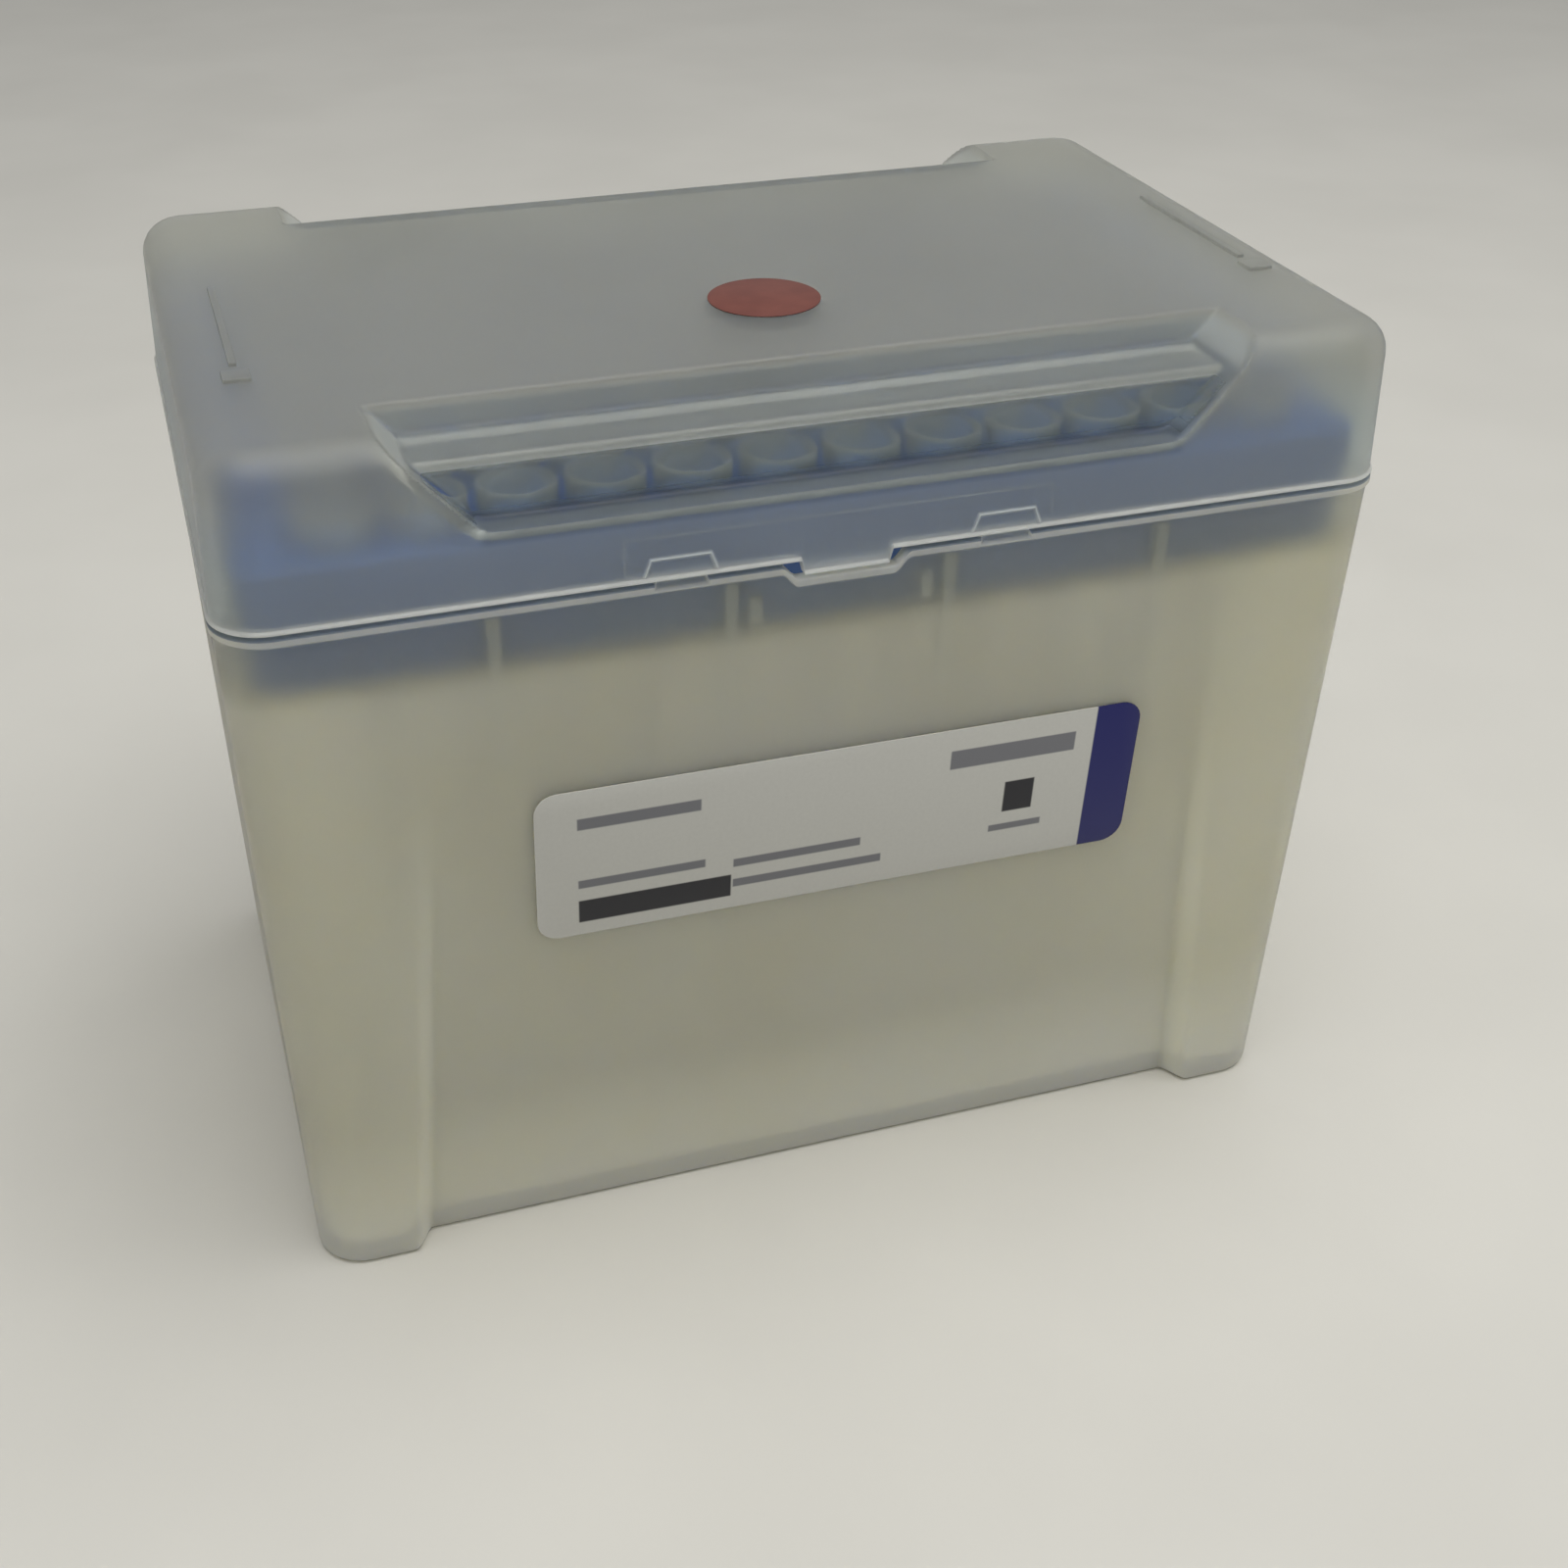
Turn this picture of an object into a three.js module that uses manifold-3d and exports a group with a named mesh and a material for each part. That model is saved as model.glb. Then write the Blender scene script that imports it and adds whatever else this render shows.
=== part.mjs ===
// Box of pipette tips: a tapering base, a blue tray on ledges inside it, 96 tips in the tray's
// seats and a hinged lid with a front latch. Millimetres, +Z up. The origin is the middle of the
// base's underside, +X runs along the length of the box and the latch faces -Y.
import * as THREE from "three";
import { mergeVertices } from "three/addons/utils/BufferGeometryUtils.js";
import Module from "manifold-3d";

const wasm = await Module();
wasm.setup();

// ---------------------------------------------------------------- driving dimensions
// Tips and their grid
const pitch = 9; // the standard spacing of a 96-place rack
const columns = 12;
const rows = 8;
const separateRows = 4; // rows from the front whose tips are separate pieces
const tipLength = 71.5;
const tipStandsUp = 3.5; // tip's mouth above the tray's deck
const tipEndRoom = 20.1; // between the tips' ends and the base's floor
const collarGap = 0.8; // between the collars of two neighbours
const collarLedge = 0.55; // how far a collar stands out over its stem
const tipLip = 0.65; // thickness of the tip's wall at its mouth
const tipWaistRadius = 1.9; // where the long cone turns into the fine end
const tipFineLength = 22;
const tipEndRadius = 0.75;
const tipBoreEndRadius = 0.4;
const tipSeatDepth = 9; // depth of the bore's wide mouth, where the pipette's nose sits
const tipSides = 8;
const plainTipSides = 6; // sides of the tips that are moulded in one with the tray here

// Tray
const deckThickness = 1.8;
const skirtHeight = 13.6;
const trayWall = 1.3;
const trayMarginX = 5.1; // outermost collar to the skirt's outside, along X
const trayMarginY = 1.8; // the same along Y
const trayCorner = 3.5;
const trayLead = 0.6; // the skirt leans in this much at its foot
const seatClearance = 0.3; // radial room around a tip in its seat

// Base
const baseWall = 1.3;
const baseFloor = 1.6;
const trayRoomX = 2.45; // between the skirt and the wall at the rim
const trayRoomY = 2;
const deckAboveRim = 5.5;
const baseTaperX = 1.5; // how far each end wall leans in at the foot
const baseTaperY = 2.4; // the same for the front and back walls
const cornerRadius = 5.5; // vertical corners, seen from above
const cornerSteps = 5;
const rimBandHeight = 0.9;
const rimBandProud = 0.3;
const panelBelowRim = 18.2; // the set-back panels run out into the wall here
const panelDepth = 3.1; // how far a panel is set back at the foot
const legWidthFoot = 13.55; // box's end to a panel's edge at the foot
const legWidthTop = 18.55; // the same where the panel runs out
const panelCorner = 2;

// Ledges inside the base that carry the tray
const frontLedgeX = [11.85, 36.15]; // either side of the middle, front and back
const endLedgeY = 18; // either side of the middle, on the end walls
const ledgeWidth = 1.4;
const ledgeHeight = 11; // from the tray's foot down to where the ledge meets the wall
const ledgeGuide = 6.5; // how far the guide reaches up beside the skirt
const guideClearance = 0.35;

// Lid
const lidGap = 0.6; // daylight between the rim and the lid's lower edge
const lidWall = 1.2;
const tipHeadroom = 7.3; // between the tips' mouths and the lid's inside
const lidDraft = 0.45;
const lidLipHeight = 1;
const lidLipProud = 0.25;
const lidEdgeRadius = 4; // round of the top edge
const lidEdgeSteps = 4;
const recessClearance = 1; // between the deck and the underside of a recess
const recessEndFloor = 26.25; // box's end to a recess at its floor
const recessSlope = 0.93; // each end of a recess leans out by this much for each mm of height
const recessCorner = 2.2;
const recessWallInset = 3.7; // recess wall behind the lid's face
const recessStep = 3.3; // depth below the top of the upper ledge
const recessStepInset = 11.3; // the flat top starts this far behind the face
const ridgeHeight = 0.4;
const ridgeWidth = 0.8;
const ridgeLength = 24;
const ridgeInset = 6.75; // from the box's end
const ridgeCentreY = -3.6;
const nubSize = 2.8;
const nubGap = 1.7; // between a ridge and its nub

// Latch
const tongueHalfFoot = 4.2;
const tongueSlant = 0.5; // each side of the tongue leans out by this much
const tongueDrop = 2.6; // below the lid's lower edge
const notchClearance = 0.6; // around the tongue in the base's rim
const notchSlant = 1.4; // each side of the notch leans out by this much
const gripInner = 13.5; // cut-outs either side of the latch
const gripOuter = 21.2;
const gripSlant = 0.8;
const gripHeight = 1.9;
const tabRise = 0.7; // the rim stands up this much in each cut-out
const tabClearance = 0.6; // between the tab's ends and the cut-out's
const padHalfLength = 22.8; // thicker pad behind the latch
const padHeight = 3.9;
const padThickness = 0.4;
const catchX = 9.3; // small catch bosses inside the base's rim
const catchWidth = 1.4;
const catchHeight = 2.7;
const catchDepth = 1;
const catchBelowRim = 3.6;

// Hinge
const hingeFromEnd = 32.75; // box's end to the middle of each hinge
const hingeLength = 16;
const earWidth = 2;
const pinRadius = 0.9;
const pinClearance = 0.25;
const eyeWall = 0.85;
const hingeClearance = 0.3;
const hingeWeb = 5; // how far a web runs along the wall
const hingeSides = 16;

// Stickers
const stickerThickness = 0.2;
const stickerGap = 0.05;
const labelLength = 69;
const labelHeight = 19.2;
const labelCorner = 2.5;
const labelOffset = 1.3; // right of the middle
const labelBelowPanel = 4.2; // label's top edge below the panel's
const labelTurn = THREE.MathUtils.degToRad(-1.1); // stuck on a little crooked
const dotDiameter = 12.2;
const dotX = 0.4;
const dotFromFront = 28.7; // dot's middle behind the lid's front

// ---------------------------------------------------------------- sizes that follow from them
const tipCollarRadius = (pitch - collarGap) / 2;
const tipStemRadius = tipCollarRadius - collarLedge;
const tipMouthRadius = tipCollarRadius - tipLip;
const tipEnd = baseFloor + tipEndRoom;
const tipTop = tipEnd + tipLength;
const deckHeight = tipTop - tipStandsUp;
const deckUnderside = deckHeight - deckThickness;
const trayFoot = deckHeight - skirtHeight;
const trayHalfX = ((columns - 1) * pitch) / 2 + tipCollarRadius + trayMarginX;
const trayHalfY = ((rows - 1) * pitch) / 2 + tipCollarRadius + trayMarginY;
const boxLength = 2 * (trayHalfX + trayRoomX + baseWall + rimBandProud);
const boxDepth = 2 * (trayHalfY + trayRoomY + baseWall + rimBandProud);
const rimHeight = deckHeight - deckAboveRim;
const lidEdge = rimHeight + lidGap;
const lidTop = tipTop + tipHeadroom + lidWall;
const recessFloor = deckHeight + recessClearance + lidWall;
const recessHalfFloor = boxLength / 2 - recessEndFloor;
const ridgeCentreX = boxLength / 2 - ridgeInset;
const nubY = ridgeCentreY - ridgeLength / 2 - nubGap - nubSize / 2;
const panelHeight = rimHeight - panelBelowRim;
const panelHalfFoot = boxLength / 2 - legWidthFoot;
const panelHalfTop = boxLength / 2 - legWidthTop;
const labelCentreZ = panelHeight - labelBelowPanel - labelHeight / 2;
const hingeX = boxLength / 2 - hingeFromEnd;
const eyeBore = pinRadius + pinClearance;
const eyeRadius = eyeBore + eyeWall;
const hingeY = boxDepth / 2 + eyeRadius + hingeClearance;
const hingeZ = rimHeight + lidGap / 2;
const bury = 0.5; // how far a joined feature reaches into what carries it
const beyond = 5; // how far a cutter runs past what it cuts

// Half sizes of the base's outside at height z.
const baseHalfX = (z) => boxLength / 2 - rimBandProud - baseTaperX * (1 - z / rimHeight);
const baseHalfY = (z) => boxDepth / 2 - rimBandProud - baseTaperY * (1 - z / rimHeight);
// Front face of a set-back panel at height z, as a distance from the middle plane.
const panelFoot = baseHalfY(0) - panelDepth;
const panelSlope = (baseHalfY(panelHeight) - panelFoot) / panelHeight;
const panelFaceY = (z) => panelFoot + panelSlope * z;

// ---------------------------------------------------------------- solids and their operations
/** A closed three.js geometry as a solid that can be joined and cut. */
function solid(geometry) {
  const bare = geometry.clone();
  bare.deleteAttribute("normal");
  bare.deleteAttribute("uv");
  const merged = mergeVertices(bare, 1e-4);
  return new wasm.Manifold(
    new wasm.Mesh({
      numProp: 3,
      vertProperties: new Float32Array(merged.attributes.position.array),
      triVerts: new Uint32Array(merged.index.array),
    }),
  );
}

/** The joined solid of a list. */
const join = (list) => list.reduce((whole, piece) => whole.add(piece));

/** A named mesh of a solid. */
function piece(name, body, material) {
  const mesh = body.getMesh();
  const geometry = new THREE.BufferGeometry();
  geometry.setAttribute("position", new THREE.BufferAttribute(mesh.vertProperties, 3));
  geometry.setIndex(new THREE.BufferAttribute(mesh.triVerts, 1));
  geometry.computeVertexNormals();
  const node = new THREE.Mesh(geometry, material);
  node.name = name;
  return node;
}

/** Outline of a rounded rectangle, anticlockwise, with its corners as arcs. */
function roundedRectangle({ halfX, halfY, radius, x = 0, y = 0 }) {
  const corners = [[1, 1], [-1, 1], [-1, -1], [1, -1]];
  return corners.flatMap(([sideX, sideY], quarter) =>
    Array.from({ length: cornerSteps + 1 }, (_, step) => {
      const angle = (quarter + step / cornerSteps) * (Math.PI / 2);
      return [
        x + sideX * (halfX - radius) + radius * Math.cos(angle),
        y + sideY * (halfY - radius) + radius * Math.sin(angle),
      ];
    }),
  );
}

/** Solid through rounded rectangles at rising heights, each { z, halfX, halfY, radius }. */
function loft(sections) {
  const rings = sections.map(roundedRectangle);
  const around = rings[0].length;
  const positions = rings.flatMap((ring, level) => ring.flatMap(([x, y]) => [x, y, sections[level].z]));
  const index = [];
  for (let level = 0; level < rings.length - 1; level += 1) {
    for (let i = 0; i < around; i += 1) {
      const a = level * around + i;
      const b = level * around + ((i + 1) % around);
      index.push(a, b, b + around, a, b + around, a + around);
    }
  }
  const last = (rings.length - 1) * around;
  for (let i = 1; i < around - 1; i += 1) {
    index.push(0, i + 1, i, last, last + i, last + i + 1);
  }
  const geometry = new THREE.BufferGeometry();
  geometry.setAttribute("position", new THREE.Float32BufferAttribute(positions, 3));
  geometry.setIndex(index);
  return solid(geometry);
}

/** Solid of an outline of [x, z] points, running from y = from to y = to. */
function slabAlongY(outline, from, to) {
  const shape = new THREE.Shape(outline.map(([x, z]) => new THREE.Vector2(x, z)));
  const geometry = new THREE.ExtrudeGeometry(shape, { depth: to - from, bevelEnabled: false, steps: 1 });
  return solid(geometry.rotateX(Math.PI / 2).translate(0, to, 0));
}

/** Solid of an outline of [y, z] points, running from x = from to x = to. */
function slabAlongX(outline, from, to) {
  const shape = new THREE.Shape(outline.map(([y, z]) => new THREE.Vector2(y, z)));
  const geometry = new THREE.ExtrudeGeometry(shape, { depth: to - from, bevelEnabled: false, steps: 1 });
  return solid(geometry.rotateX(Math.PI / 2).rotateZ(Math.PI / 2).translate(from, 0, 0));
}

/** Box between two corners. */
function block([x0, y0, z0], [x1, y1, z1]) {
  const geometry = new THREE.BoxGeometry(x1 - x0, y1 - y0, z1 - z0);
  return solid(geometry.translate((x0 + x1) / 2, (y0 + y1) / 2, (z0 + z1) / 2));
}

/** Cylinder along X about the hinge's axis. */
function hingeCylinder(radius, from, to) {
  const geometry = new THREE.CylinderGeometry(radius, radius, to - from, hingeSides);
  return solid(geometry.rotateZ(Math.PI / 2).translate((from + to) / 2, hingeY, hingeZ));
}

/** Solid turned about a vertical axis from a closed profile of [radius, z] points. */
function turned(profile, sides) {
  const points = profile.map(([radius, z]) => new THREE.Vector2(radius, z));
  const geometry = new THREE.LatheGeometry([...points, points[0].clone()], sides);
  return solid(geometry.rotateX(Math.PI / 2));
}

/** A solid and its mirror image across the box's middle plane along X or Y. */
const bothEnds = (body) => body.add(body.mirror([1, 0, 0]));
const frontAndBack = (body) => body.add(body.mirror([0, 1, 0]));

// ---------------------------------------------------------------- base
/** Outside or inside of the base's wall: the same tapering form, drawn in by inset. */
function baseForm(inset, from, to) {
  const section = (z) => ({
    z,
    halfX: baseHalfX(z) - inset,
    halfY: baseHalfY(z) - inset,
    radius: cornerRadius - inset,
  });
  return loft([section(from), section(to)]);
}

/** Wedge that sets a panel back between the front legs, moved inward by inset. */
function panelWedge(inset) {
  const section = (z) => {
    const face = panelFaceY(z) - inset;
    const outside = boxDepth / 2 + beyond;
    const share = z / panelHeight;
    return {
      z,
      halfX: panelHalfFoot + (panelHalfTop - panelHalfFoot) * share + inset,
      halfY: (outside - face) / 2,
      radius: panelCorner,
      y: -(outside + face) / 2,
    };
  };
  return loft([section(-beyond), section(panelHeight + beyond)]);
}

/** Ledge that carries the tray's skirt and its guide, on the wall towards -Y, as [y, z] points. */
function ledgeOutline(wallAt, skirtOutside) {
  const under = skirtOutside - trayLead - trayWall - bury;
  const guide = skirtOutside + guideClearance;
  const foot = trayFoot - ledgeHeight;
  const top = trayFoot + ledgeGuide;
  return [
    [-wallAt(foot) - bury, foot],
    [-wallAt(foot), foot],
    [-under, foot + (wallAt(foot) - under) * 1.5],
    [-under, trayFoot],
    [-guide, trayFoot],
    [-guide, top - 1],
    [-wallAt(top), top],
    [-wallAt(top) - bury, top],
  ];
}

function makeBase() {
  const outside = baseForm(0, 0, rimHeight).subtract(frontAndBack(panelWedge(0)));
  const band = { halfX: boxLength / 2, halfY: boxDepth / 2, radius: cornerRadius };
  const rimBand = loft([
    { ...band, z: rimHeight - rimBandHeight },
    { ...band, z: rimHeight },
  ]);
  const inside = baseForm(baseWall, baseFloor, rimHeight + beyond).subtract(
    frontAndBack(panelWedge(baseWall)),
  );

  const innerY = (z) => baseHalfY(z) - baseWall;
  const innerX = (z) => baseHalfX(z) - baseWall;
  const frontLedge = ledgeOutline(innerY, trayHalfY);
  const endLedge = ledgeOutline(innerX, trayHalfX);
  const frontLedges = frontLedgeX.map((x) =>
    frontAndBack(bothEnds(slabAlongX(frontLedge, x - ledgeWidth / 2, x + ledgeWidth / 2))),
  );
  const endRib = slabAlongX(endLedge, -ledgeWidth / 2, ledgeWidth / 2);
  const endLedges = frontAndBack(bothEnds(endRib.rotate([0, 0, -90]).translate([0, endLedgeY, 0])));

  const catchTop = rimHeight - catchBelowRim;
  const catchFace = innerY(catchTop);
  const catches = bothEnds(
    block(
      [catchX - catchWidth / 2, -catchFace - bury, catchTop - catchHeight],
      [catchX + catchWidth / 2, -catchFace + catchDepth, catchTop],
    ),
  );

  // the rim's band dips round the notch at its own width
  const notchFoot = lidEdge - tongueDrop - notchClearance;
  const notchLean = notchSlant / (rimHeight - notchFoot);
  const notchHalf = (z) => tongueHalfFoot + notchClearance + notchLean * (z - notchFoot);
  const notchOutline = (grow, top) => [
    [-notchHalf(notchFoot) - grow, notchFoot - grow],
    [notchHalf(notchFoot) + grow, notchFoot - grow],
    [notchHalf(top) + grow, top],
    [-notchHalf(top) - grow, top],
  ];
  const notch = slabAlongY(notchOutline(0, lidEdge), -boxDepth / 2 - beyond, -innerY(rimHeight) + bury);
  const dip = slabAlongY(notchOutline(rimBandHeight, rimHeight), -boxDepth / 2, -innerY(rimHeight) - bury);

  // low tabs stand up in the lid's cut-outs, with the band hollowed below them
  const tabInner = gripInner + gripSlant;
  const tabOuter = gripOuter - gripSlant;
  const tab = slabAlongY(
    [
      [tabInner, rimHeight - bury],
      [tabOuter, rimHeight - bury],
      [tabOuter - tabClearance, rimHeight + tabRise],
      [tabInner + tabClearance, rimHeight + tabRise],
    ],
    -boxDepth / 2 + rimBandProud,
    -innerY(rimHeight),
  );
  const hollow = block(
    [tabInner, -boxDepth / 2 - beyond, rimHeight - rimBandHeight / 2],
    [tabOuter, -boxDepth / 2 + rimBandProud, rimHeight + beyond],
  );

  const rim = join([outside, rimBand, dip]).subtract(bothEnds(hollow));
  const body = rim.add(bothEnds(tab)).subtract(inside);
  const carried = join([body, ...frontLedges, endLedges, catches]);
  return carried.subtract(notch).add(bothEnds(makeEars()));
}

/** Two ears on the base's back wall with the pin between them. */
function makeEars() {
  const wall = baseHalfY(rimHeight - rimBandHeight) - bury;
  const web = [
    [wall, hingeZ - eyeRadius - hingeWeb],
    [hingeY + eyeRadius * Math.SQRT1_2, hingeZ - eyeRadius * Math.SQRT1_2],
    [hingeY, hingeZ],
    [wall, hingeZ - lidGap],
  ];
  const ears = [hingeX - hingeLength / 2, hingeX + hingeLength / 2 - earWidth].map((from) =>
    hingeCylinder(eyeRadius, from, from + earWidth).add(slabAlongX(web, from, from + earWidth)),
  );
  const pin = hingeCylinder(pinRadius, hingeX - hingeLength / 2 + bury, hingeX + hingeLength / 2 - bury);
  return join([...ears, pin]);
}

// ---------------------------------------------------------------- lid
/** Outside or inside of the lid with its rounded top edge, drawn in by inset. */
function lidForm(inset, from) {
  const halfX = boxLength / 2 - lidLipProud - inset;
  const halfY = boxDepth / 2 - lidLipProud - inset;
  const round = lidEdgeRadius - inset;
  const shoulder = lidTop - lidEdgeRadius;
  const sections = [{ z: from, halfX, halfY, radius: cornerRadius - inset }];
  for (let step = 0; step <= lidEdgeSteps; step += 1) {
    const angle = (step / lidEdgeSteps) * (Math.PI / 2);
    const drawnIn = lidDraft + round * (1 - Math.cos(angle));
    sections.push({
      z: shoulder + round * Math.sin(angle),
      halfX: halfX - drawnIn,
      halfY: halfY - drawnIn,
      radius: Math.max(cornerRadius - inset - drawnIn, 1),
    });
  }
  return loft(sections);
}

/** Cutters for the recess in the lid's front top edge, grown by inset for the inside of its wall. */
function recessCutter(inset) {
  const outside = -boxDepth / 2 - beyond;
  const floor = recessFloor - inset;
  const step = lidTop - recessStep - inset;
  const sideways = inset * (Math.hypot(1, recessSlope) - recessSlope);
  const half = (z) => recessHalfFloor + sideways + recessSlope * (z - floor);
  const top = lidTop + beyond;
  const corner = Array.from({ length: cornerSteps + 1 }, (_, i) => {
    const angle = -Math.PI / 2 + (i / cornerSteps) * (Math.PI / 4);
    return [
      half(floor) - recessCorner * Math.SQRT1_2 + recessCorner * Math.cos(angle),
      floor + recessCorner * (1 + Math.sin(angle)),
    ];
  });
  const right = [...corner, [half(top), top]];
  const left = right.map(([x, z]) => [-x, z]).reverse();
  const lower = slabAlongY([...right, ...left], outside, -boxDepth / 2 + recessWallInset + inset);
  const upper = slabAlongY(
    [[-half(step), step], [half(step), step], [half(top), top], [-half(top), top]],
    outside,
    -boxDepth / 2 + recessStepInset + inset,
  );
  return lower.add(upper);
}

function makeLid() {
  const lip = { halfX: boxLength / 2, halfY: boxDepth / 2, radius: cornerRadius };
  const lipBand = loft([
    { ...lip, z: lidEdge },
    { ...lip, z: lidEdge + lidLipHeight },
  ]);
  const outside = lidForm(0, lidEdge).subtract(frontAndBack(recessCutter(0))).add(lipBand);
  const inside = lidForm(lidWall, lidEdge - beyond).subtract(frontAndBack(recessCutter(lidWall)));

  const innerFace = boxDepth / 2 - lidLipProud - lidWall;
  const pad = block(
    [-padHalfLength, -innerFace - bury, lidEdge],
    [padHalfLength, -innerFace + padThickness, lidEdge + padHeight],
  );
  const grip = slabAlongY(
    [
      [gripInner, lidEdge - beyond],
      [gripOuter, lidEdge - beyond],
      [gripOuter, lidEdge],
      [gripOuter - gripSlant, lidEdge + gripHeight],
      [gripInner + gripSlant, lidEdge + gripHeight],
      [gripInner, lidEdge],
    ],
    -boxDepth / 2 - beyond,
    -innerFace + beyond,
  );
  const tongueTop = tongueHalfFoot + tongueSlant;
  const tongue = slabAlongY(
    [
      [-tongueHalfFoot, lidEdge - tongueDrop],
      [tongueHalfFoot, lidEdge - tongueDrop],
      [tongueTop, lidEdge + bury],
      [-tongueTop, lidEdge + bury],
    ],
    -boxDepth / 2,
    -innerFace,
  );

  const ridge = block(
    [ridgeCentreX - ridgeWidth / 2, ridgeCentreY - ridgeLength / 2, lidTop - bury],
    [ridgeCentreX + ridgeWidth / 2, ridgeCentreY + ridgeLength / 2, lidTop + ridgeHeight],
  );
  const nub = block(
    [ridgeCentreX - nubSize / 2, nubY - nubSize / 2, lidTop - bury],
    [ridgeCentreX + nubSize / 2, nubY + nubSize / 2, lidTop + ridgeHeight],
  );

  const shell = join([outside.subtract(inside), pad, bothEnds(ridge), bothEnds(nub)]);
  return shell.subtract(bothEnds(grip)).add(tongue).add(bothEnds(makeEye()));
}

/** Eye on the lid's back wall that turns on the base's pin. */
function makeEye() {
  const wall = boxDepth / 2 - lidLipProud - bury;
  const from = hingeX - hingeLength / 2 + earWidth + hingeClearance;
  const to = hingeX + hingeLength / 2 - earWidth - hingeClearance;
  const web = [
    [wall, lidEdge],
    [hingeY, hingeZ],
    [hingeY + eyeRadius * Math.SQRT1_2, hingeZ + eyeRadius * Math.SQRT1_2],
    [wall, hingeZ + eyeRadius + hingeWeb],
  ];
  const bore = hingeCylinder(eyeBore, from - beyond, to + beyond);
  return hingeCylinder(eyeRadius, from, to).add(slabAlongX(web, from, to)).subtract(bore);
}

// ---------------------------------------------------------------- tips
const tipX = (column) => (column - (columns - 1) / 2) * pitch;
const tipY = (row) => (row - (rows - 1) / 2) * pitch;
const tipColumns = Array.from({ length: columns }, (_, column) => column);
const tipRows = Array.from({ length: rows }, (_, row) => row);

/** Hollow tip with its collar resting on the deck. */
function makeTip() {
  return turned(
    [
      [tipBoreEndRadius, tipEnd],
      [tipEndRadius, tipEnd],
      [tipWaistRadius, tipEnd + tipFineLength],
      [tipStemRadius, deckHeight],
      [tipCollarRadius, deckHeight],
      [tipCollarRadius, tipTop],
      [tipMouthRadius, tipTop],
      [tipStemRadius - tipLip, tipTop - tipSeatDepth],
    ],
    tipSides,
  );
}

/** Tip moulded in one with the deck: its outside, and the bore that opens its mouth. */
function makePlainTip() {
  const outside = turned(
    [
      [0, tipEnd],
      [tipEndRadius, tipEnd],
      [tipStemRadius, deckHeight - deckThickness / 2],
      [tipCollarRadius, deckHeight - deckThickness / 2],
      [tipCollarRadius, tipTop],
      [0, tipTop],
    ],
    plainTipSides,
  );
  const mouth = turned(
    [
      [0, tipTop - tipSeatDepth],
      [tipStemRadius - tipLip, tipTop - tipSeatDepth],
      [tipMouthRadius, tipTop + tipLip],
      [0, tipTop + tipLip],
    ],
    plainTipSides,
  );
  return { outside, mouth };
}

// ---------------------------------------------------------------- tray
function makeTray() {
  const section = (z, inset, lean) => ({
    z,
    halfX: trayHalfX - inset - lean,
    halfY: trayHalfY - inset - lean,
    radius: trayCorner - inset,
  });
  const outside = loft([section(trayFoot, 0, trayLead), section(deckHeight, 0, 0)]);
  const hollow = loft([section(trayFoot - beyond, trayWall, trayLead), section(deckUnderside, trayWall, 0)]);
  const seat = solid(
    new THREE.CylinderGeometry(
      tipStemRadius + seatClearance,
      tipStemRadius + seatClearance,
      deckThickness + 2 * bury,
      tipSides,
    )
      .rotateX(Math.PI / 2)
      .translate(0, 0, deckHeight - deckThickness / 2),
  );
  const plain = makePlainTip();
  const places = (from, to) =>
    tipRows.slice(from, to).flatMap((row) => tipColumns.map((column) => [tipX(column), tipY(row), 0]));
  const seats = join(places(0, separateRows).map((place) => seat.translate(place)));
  const tips = join(places(separateRows, rows).map((place) => plain.outside.translate(place)));
  const mouths = join(places(separateRows, rows).map((place) => plain.mouth.translate(place)));
  return outside.subtract(hollow).subtract(seats).add(tips).subtract(mouths);
}

// ---------------------------------------------------------------- stickers
/** Label lying on the front panel, which leans back with the wall. */
function makeLabel() {
  const outline = roundedRectangle({ halfX: labelLength / 2, halfY: labelHeight / 2, radius: labelCorner });
  const flat = slabAlongY(outline, -stickerGap - stickerThickness, -stickerGap);
  const lean = THREE.MathUtils.radToDeg(Math.atan(panelSlope));
  return flat
    .rotate([0, THREE.MathUtils.radToDeg(-labelTurn), 0])
    .rotate([lean, 0, 0])
    .translate([labelOffset, -panelFaceY(labelCentreZ), labelCentreZ]);
}

function makeDot() {
  const radius = dotDiameter / 2;
  const middleZ = lidTop + stickerGap + stickerThickness / 2;
  const geometry = new THREE.CylinderGeometry(radius, radius, stickerThickness, 32);
  return solid(geometry.rotateX(Math.PI / 2).translate(dotX, dotFromFront - boxDepth / 2, middleZ));
}

// ---------------------------------------------------------------- materials and the assembly
const plastic = (color, roughness, opacity = 1) =>
  new THREE.MeshStandardMaterial({ color, roughness, metalness: 0, opacity, transparent: opacity < 1 });
const milky = plastic(0xb9b9a3, 0.45, 0.8);
const frosted = plastic(0xa9b2b5, 0.4, 0.55);
const blue = plastic(0x2f4f9e, 0.5);
const natural = plastic(0xd5d8cc, 0.35, 0.8);
const paper = plastic(0xe4e4e6, 0.6);
const red = plastic(0xc8403a, 0.55);

const box = new THREE.Group();
box.add(piece("base", makeBase(), milky));
box.add(piece("lid", makeLid(), frosted));
box.add(piece("tray", makeTray(), blue));
box.add(piece("front_label", makeLabel(), paper));
box.add(piece("indicator_dot", makeDot(), red));

const tip = makeTip();
for (const row of tipRows.slice(0, separateRows)) {
  for (const column of tipColumns) {
    const letter = String.fromCharCode("a".charCodeAt(0) + row);
    const node = piece(`tip_${letter}${column + 1}`, tip, natural);
    node.position.set(tipX(column), tipY(row), 0);
    box.add(node);
  }
}

export default box;
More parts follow.
